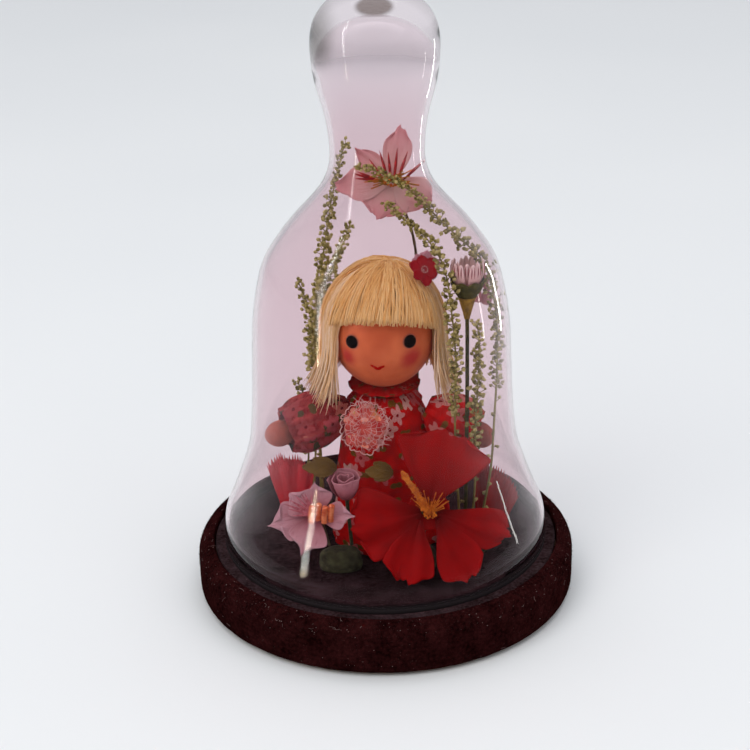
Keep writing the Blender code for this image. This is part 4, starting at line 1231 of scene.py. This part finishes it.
def make_small_blossoms():
    mauve = silk_paint("silk_mauve", (0.50, 0.20, 0.26), (0.60, 0.31, 0.37), (0.70, 0.42, 0.48),
                       (0.40, 0.14, 0.20), 0.4)
    petals = [(90, 6.5, 2.6), (162, 4.4, 2.4), (234, 5.5, 2.4), (306, 5.5, 2.4), (18, 3.6, 2.2)]
    blossom("side_blossom", "mauve_petals", petals, (-0.5, -0.85, 0.1), mauve, 0.4, 0.8,
            0.2, 0.2, 16, 10)
    flame = silk_paint("silk_flame", (0.55, 0.22, 0.03), (0.66, 0.13, 0.03), (0.62, 0.06, 0.03),
                       (0.40, 0.02, 0.01), 0.4)
    petals = [(90, 3.6, 1.7), (210, 2.6, 1.5), (330, 2.6, 1.5), (30, 2.8, 1.4), (150, 3.0, 1.4)]
    blossom("orange_blossom", "flame_petals", petals, (0.1, -0.95, 0.2), flame, 0.5,
            0.9, 0.15, 0.2, 12, 8)

    middle, normal = plane_of("hair_flower")
    place = facing(middle + Vector((-1.0, -2.2, -0.6)), UP, (0.30, -0.80, 0.52))
    ruby = silk_paint("silk_ruby", (0.36, 0.012, 0.02), (0.40, 0.006, 0.016), (0.34, 0.004, 0.012),
                      (0.22, 0.002, 0.008), 0.3)
    cut = Bundle()
    for k in range(6):
        petal(cut, 30 + 60 * k, 5.3 - 0.8 * (k % 2), 1.9, 0.3, 0.5, lift=0.1 * (k % 2), folds=0.1,
                       point=0.1, fan=0.62, wide_root=0.5, seed=k * 1.3, rows=12, cols=8)
    cut.moved(lambda v: place @ v)
    show("cut_flower", cut, ruby, replaces=["hair_flower"], thick=0.35)
    ring = Bundle()
    for k in range(9):
        a = math.tau * k / 9
        spot = place @ Vector((1.0 * math.cos(a), 1.0 * math.sin(a), 0.75))
        ring.grain(spot, normal, 0.5, 0.5, 0.5, 3, 5)
    cream = plain_paint("cream_dots", (0.62, 0.40, 0.36), (0.82, 0.66, 0.60), 0.8, 0.8, 0.03, 0.3)
    show("flower_dots", ring, cream)
    behind = Bundle()
    for angle, length in ((20, 6.8), (62, 6.6), (100, 5.6), (-18, 5.4)):
        petal(behind, angle, length, 2.3, 0.5, 0.2, lift=-0.9, folds=0.2, point=0.3, seed=angle,
                          rows=14, cols=10)
    behind.moved(lambda v: place @ v)
    show("cut_flower_backing", behind, mauve, thick=0.25)


def make_carnations():
    """Toothed fans of silk, several layers deep."""
    pinkish = silk_paint("silk_carnation", (0.26, 0.006, 0.012), (0.44, 0.012, 0.022), (0.52, 0.035, 0.05),
                         (0.30, 0.008, 0.015), 0.5)
    deep = silk_paint("silk_crimson", (0.08, 0.0004, 0.001), (0.26, 0.0008, 0.002), (0.40, 0.002, 0.004),
                      (0.12, 0.0004, 0.001), 0.5)
    for node, paint, spread in (("carnation_left", pinkish, 0.9), ("carnation_right", deep, 1.0)):
        middle, normal = plane_of(node)
        low, high, _ = span(node)
        tall, wide = high.z - low.z, high.x - low.x
        up = Vector((-0.12, 0.02, 1)) if node.endswith("left") else Vector((0.34, 0, 1))
        place = facing(Vector((middle.x, middle.y, low.z)), up, normal)
        shape = Bundle()
        rows, cols = 30, 90
        for layer in range(4):
            def point(i, j):
                u, v, lean = i / rows, 2 * j / cols - 1, (layer - 1.5) * 0.14
                half = between(0.8, wide * 0.45 * spread, u ** 0.6)
                tooth = 0.075 * abs(math.sin(19 * v + layer)) * ease((u - 0.72) / 0.28)
                y = tall * (0.94 - 0.05 * (layer % 2)) * u * (1 - 0.14 * v * v - tooth)
                ruffle = (0.8 * math.sin(5 * v + layer * 2) + 0.16 * math.sin(14 * v)) * u * u
                spot = Vector((v * half + lean * y, y, (layer - 1.5) * 1.1 * u + ruffle))
                return place @ roughened(spot, 4.0, 0.4 * u, layer), ((v + 1) / 2 + layer, u)

            shape.grid(rows + 1, cols + 1, point)
        reach = (0, 1) if node.endswith("left") else (-0.55, 1)
        shape.fitted(node, 0.2, ((0, 1), (0, 1), reach))
        show(node + "_silk", shape, paint, replaces=[node], thick=0.2)


def make_leaves():
    leaf_paint = silk_paint("silk_leaf", (0.070, 0.040, 0.008), (0.125, 0.080, 0.018), (0.17, 0.11, 0.026),
                            (0.040, 0.030, 0.006), 0.5)
    for node in ("leaf_front", "leaf_left"):
        place = facing((0, 0, 0), (-1.0, 0.0, 0.08), (0, -0.9, 0.4))
        shape = Bundle()
        for angle, size in ((0, 1.0), (-26, 0.8), (24, 0.72)):
            turn = Matrix.Rotation(math.radians(angle), 4, "Z")

            def point(i, j):
                u, v = i / 30, j / 6 - 1
                half = 3.1 * size * math.sin(math.pi * (0.03 + 0.94 * u)) ** 0.8
                half *= 1 + 0.06 * math.sin(26 * u)
                vein = 0.16 * abs(math.sin(9 * (u + 0.25 * abs(v)) * math.pi)) + 0.5 * abs(v)
                return place @ (turn @ Vector((v * half, 11.0 * size * u, vein))), ((v + 1) / 2, u)

            shape.grid(31, 13, point)
        shape.fitted(node, 0.2)
        show(node + "_silk", shape, leaf_paint, replaces=[node], thick=0.25)


# ---------------------------------------------------------------- dried sprigs

SPIKE_START = 0.34  # where a sprig's bare stalk ends and its seed heads begin


def make_sprigs():
    seeds = Paint("seed_heads", 0.8, Specular_IOR_Level=0.3)
    own = seeds.node("SeparateXYZ", {0: seeds.node("TexCoord", {}, "UV")}, 0)
    tone = seeds.mix(0.4, own, seeds.noise(1.2, 3.0))
    seeds.colour(seeds.ramp(tone, (0.15, (0.10, 0.095, 0.018)), (0.5, (0.34, 0.33, 0.085)),
                            (0.85, (0.62, 0.60, 0.26))))
    seeds.bump(seeds.noise(0.3, 3.0), 0.10)
    for node in sorted(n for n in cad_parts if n.startswith("sprig_")):
        draw = random.Random(node)
        rings = centreline(node)
        line = [Vector(p) for p in smooth_line([tuple(p) for p, r in rings], 6)]
        lengths = [0.0]
        for a, b in zip(line, line[1:]):
            lengths.append(lengths[-1] + (b - a).length)
        total = lengths[-1]
        shape = Bundle()
        shape.tube(line, [0.42 * (1 - 0.55 * s / total) for s in lengths], 7, 0.35)
        reach = 0.0
        turn = draw.uniform(0, math.tau)
        while reach < total:
            share = reach / total
            reach += draw.uniform(0.30, 0.55) if share > SPIKE_START else draw.uniform(4.0, 7.0)
            turn += 2.4
            k = min(int(np.searchsorted(lengths, reach)), len(line) - 2)
            spot = line[k]
            ahead = (line[k + 1] - line[k - 1]).normalized()
            out = (Matrix.Rotation(turn, 3, ahead) @ ahead.orthogonal().normalized())
            taper = math.sin(math.pi * min(0.12 + 0.88 * (share - SPIKE_START) / (1 - SPIKE_START), 0.97))
            taper = max(taper, 0.30) if share > SPIKE_START else 0.3
            cluster(shape, draw, spot, ahead, out, taper)
        show(node.replace("sprig", "dried_sprig"), shape, seeds.material, replaces=[node])


def cluster(shape, draw, spot, ahead, out, size):
    """A short side stalk with a few seed grains at its end."""
    lean = (out + ahead * draw.uniform(0.3, 0.9)).normalized()
    end = spot + lean * draw.uniform(0.4, 2.8) * (0.35 + 0.65 * size)
    shape.tube([spot, between(spot, end, 0.5), end], 0.13, 4, 0.3)
    for k in range(draw.choice((2, 3, 3, 4))):
        way = (lean + random_way(draw, 0.6)).normalized()
        wide = draw.uniform(0.85, 1.50) * (0.7 + 0.3 * size)
        middle = end + way * wide * 0.45
        shape.grain(middle, way, wide * draw.uniform(1.0, 1.5), wide, draw.random(), 4, 6)


def make_clay():
    paint = plain_paint("florist_clay", (0.022, 0.030, 0.012), (0.07, 0.085, 0.035), 2.5, 0.9, 0.25, 0.8)
    for node in sorted(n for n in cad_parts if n.startswith("clay_")):
        low, high, middle = span(node)
        half = (high - low) / 2
        outline = [(0.0, 0.0), (0.93, 0.0), (0.97, 0.12), (1.0, 0.3), (0.97, 0.6), (0.9, 0.8), (0.72, 0.94),
                   (0.4, 1.0), (0.0, 1.0)]
        shape = lathe([tuple(p) for p in smooth_line(outline, 3)], 48)

        def place(v):
            spot = Vector((middle.x + v.x * half.x, middle.y + v.y * half.y, low.z + v.z * 2 * half.z))
            return roughened(spot, 2.4, 0.35) if v.z > 0.05 else spot

        shape.moved(place)
        welded(show(node.replace("clay", "clay_lump"), shape, paint, replaces=[node]))


# ---------------------------------------------------------------- stage

CAMERA_AT = Vector((0.0, -0.52557, 0.30745))
CAMERA_AIM = Vector((-0.003875, 0.914073, -0.405531))
CAMERA_TOP = Vector((0.021102, 0.405519, 0.913843))
CAMERA_LENS = 85.47


def make_camera():
    camera = bpy.data.cameras.new("camera")
    camera.lens = CAMERA_LENS
    camera.sensor_width = 36.0
    thing = bpy.data.objects.new("camera", camera)
    bpy.context.collection.objects.link(thing)
    side = CAMERA_AIM.cross(CAMERA_TOP)
    thing.matrix_world = Matrix.Translation(CAMERA_AT) @ Matrix(
        (side, CAMERA_TOP, -CAMERA_AIM)).transposed().to_4x4()
    bpy.context.scene.camera = thing


def lamp(name, at, to, size, power, colour=(1.0, 1.0, 1.0), top=(0.0, 0.0, 1.0)):
    """A rectangular lamp, its width and height in metres, at one point and aimed at another."""
    data = bpy.data.lights.new(name, "AREA")
    data.shape = "RECTANGLE"
    data.size, data.size_y = size
    data.energy = power
    data.color = colour
    thing = bpy.data.objects.new(name, data)
    bpy.context.collection.objects.link(thing)
    aim = (Vector(to) - Vector(at)).normalized()
    thing.matrix_world = facing(at, top if abs(aim.z) < 0.99 else (0, 1, 0), -aim)
    return thing


GLINTS = [  # name, low end, high end, width, power, colour
    ("glint_shoulder", (-0.560, -0.410, 0.06), (-0.420, -0.160, 0.73), 0.060, 9.0, (1.0, 1.0, 1.0)),
    ("glint_warm", (-0.280, -0.210, 0.00), (-0.300, -0.230, 0.08), 0.020, 0.40, (1.0, 0.82, 0.55)),
    ("glint_right", (0.255, 0.172, 0.00), (0.255, 0.172, 0.15), 0.013, 0.13, (1.0, 1.0, 1.0)),
    ("glint_edge", (0.398, 0.042, 0.00), (0.398, 0.042, 0.11), 0.012, 0.07, (1.0, 0.98, 0.95)),
]


def make_stage(dome):
    mesh = bpy.data.meshes.new("studio_floor")
    far = 6.0
    mesh.from_pydata([(-far, -far, 0), (far, -far, 0), (far, far, 0), (-far, far, 0)], [], [(0, 1, 2, 3)])
    floor = bpy.data.objects.new("studio_floor", mesh)
    bpy.context.collection.objects.link(floor)
    floor.location.z = CAD_BOX[0][2]
    paint = Paint("studio_paper", 0.9, Specular_IOR_Level=0.1)
    paper = paint.ramp(paint.noise(400.0, 2.0), (0.3, (0.80, 0.815, 0.83)), (0.7, (0.84, 0.85, 0.86)))
    away = paint.node("VectorMath", {0: paint.where()}, "Value", operation="LENGTH")
    paint.colour(paint.mix(paint.step(away, 1.2, 3.5), paper, (0.97, 0.975, 0.98)))
    mesh.materials.append(paint.material)

    world = bpy.data.worlds.new("studio")
    world.use_nodes = True
    tree = world.node_tree
    way = tree.nodes.new("ShaderNodeTexCoord")
    parts = tree.nodes.new("ShaderNodeSeparateXYZ")
    tree.links.new(way.outputs["Generated"], parts.inputs[0])
    back = tree.nodes.new("ShaderNodeMapRange")
    back.interpolation_type = "SMOOTHSTEP"
    for socket, value in (("From Min", -0.6), ("From Max", 0.6), ("To Min", 0.34), ("To Max", 0.78)):
        back.inputs[socket].default_value = value
    tree.links.new(parts.outputs[1], back.inputs["Value"])
    low_sky = tree.nodes.new("ShaderNodeMapRange")
    for socket, value in (("From Min", 0.0), ("From Max", 0.35), ("To Min", 0.80), ("To Max", 1.04)):
        low_sky.inputs[socket].default_value = value
    tree.links.new(parts.outputs[2], low_sky.inputs["Value"])
    both = tree.nodes.new("ShaderNodeMath")
    both.operation = "MULTIPLY"
    tree.links.new(back.outputs[0], both.inputs[0])
    tree.links.new(low_sky.outputs[0], both.inputs[1])
    sky = tree.nodes["Background"]
    sky.inputs["Color"].default_value = (0.94, 0.96, 1.0, 1.0)
    tree.links.new(both.outputs[0], sky.inputs["Strength"])
    bpy.context.scene.world = world
    bpy.context.scene.view_settings.view_transform = "Standard"

    middle = (0.0, 0.0, 0.09)
    lamp("overhead", (0.0, 0.0, 1.9), middle, (1.7, 1.7), 12.5, (0.98, 0.99, 1.0))
    lamp("key_left", (-0.75, -0.80, 1.15), middle, (0.9, 0.9), 7.0, (1.0, 0.98, 0.95))
    lamp("fill_right", (0.95, -0.65, 0.95), middle, (0.8, 0.8), 2.2)
    glass_only = bpy.data.collections.new("glass_only")
    glass_only.objects.link(dome)
    for name, low, high, wide, power, colour in GLINTS:
        low, high = Vector(low), Vector(high)
        at = (low + high) / 2
        size = (wide, (high - low).length)
        glint = lamp(name, at, (0.0, 0.0, at.z * 0.5), size, power, colour, high - low)
        glint.visible_diffuse = glint.visible_transmission = False
        glint.light_linking.receiver_collection = glass_only


# ---------------------------------------------------------------- the whole

make_camera()
make_ring()
make_floor_and_board()
make_stage(make_dome())
make_head()
make_hair()
red_cotton = make_dress()
rose_cotton = print_paint("cotton_rose_print", size=7.5, lobes=6, full=0.36, leafy=0.26, **ROSE_PRINT)
make_arm("left", rose_cotton)
make_arm("right", red_cotton)
make_lace()
make_hibiscus()
make_pink_blossom()
make_top_blossom()
make_rosebud()
make_daisy()
make_small_blossoms()
make_carnations()
make_leaves()
make_sprigs()
make_clay()
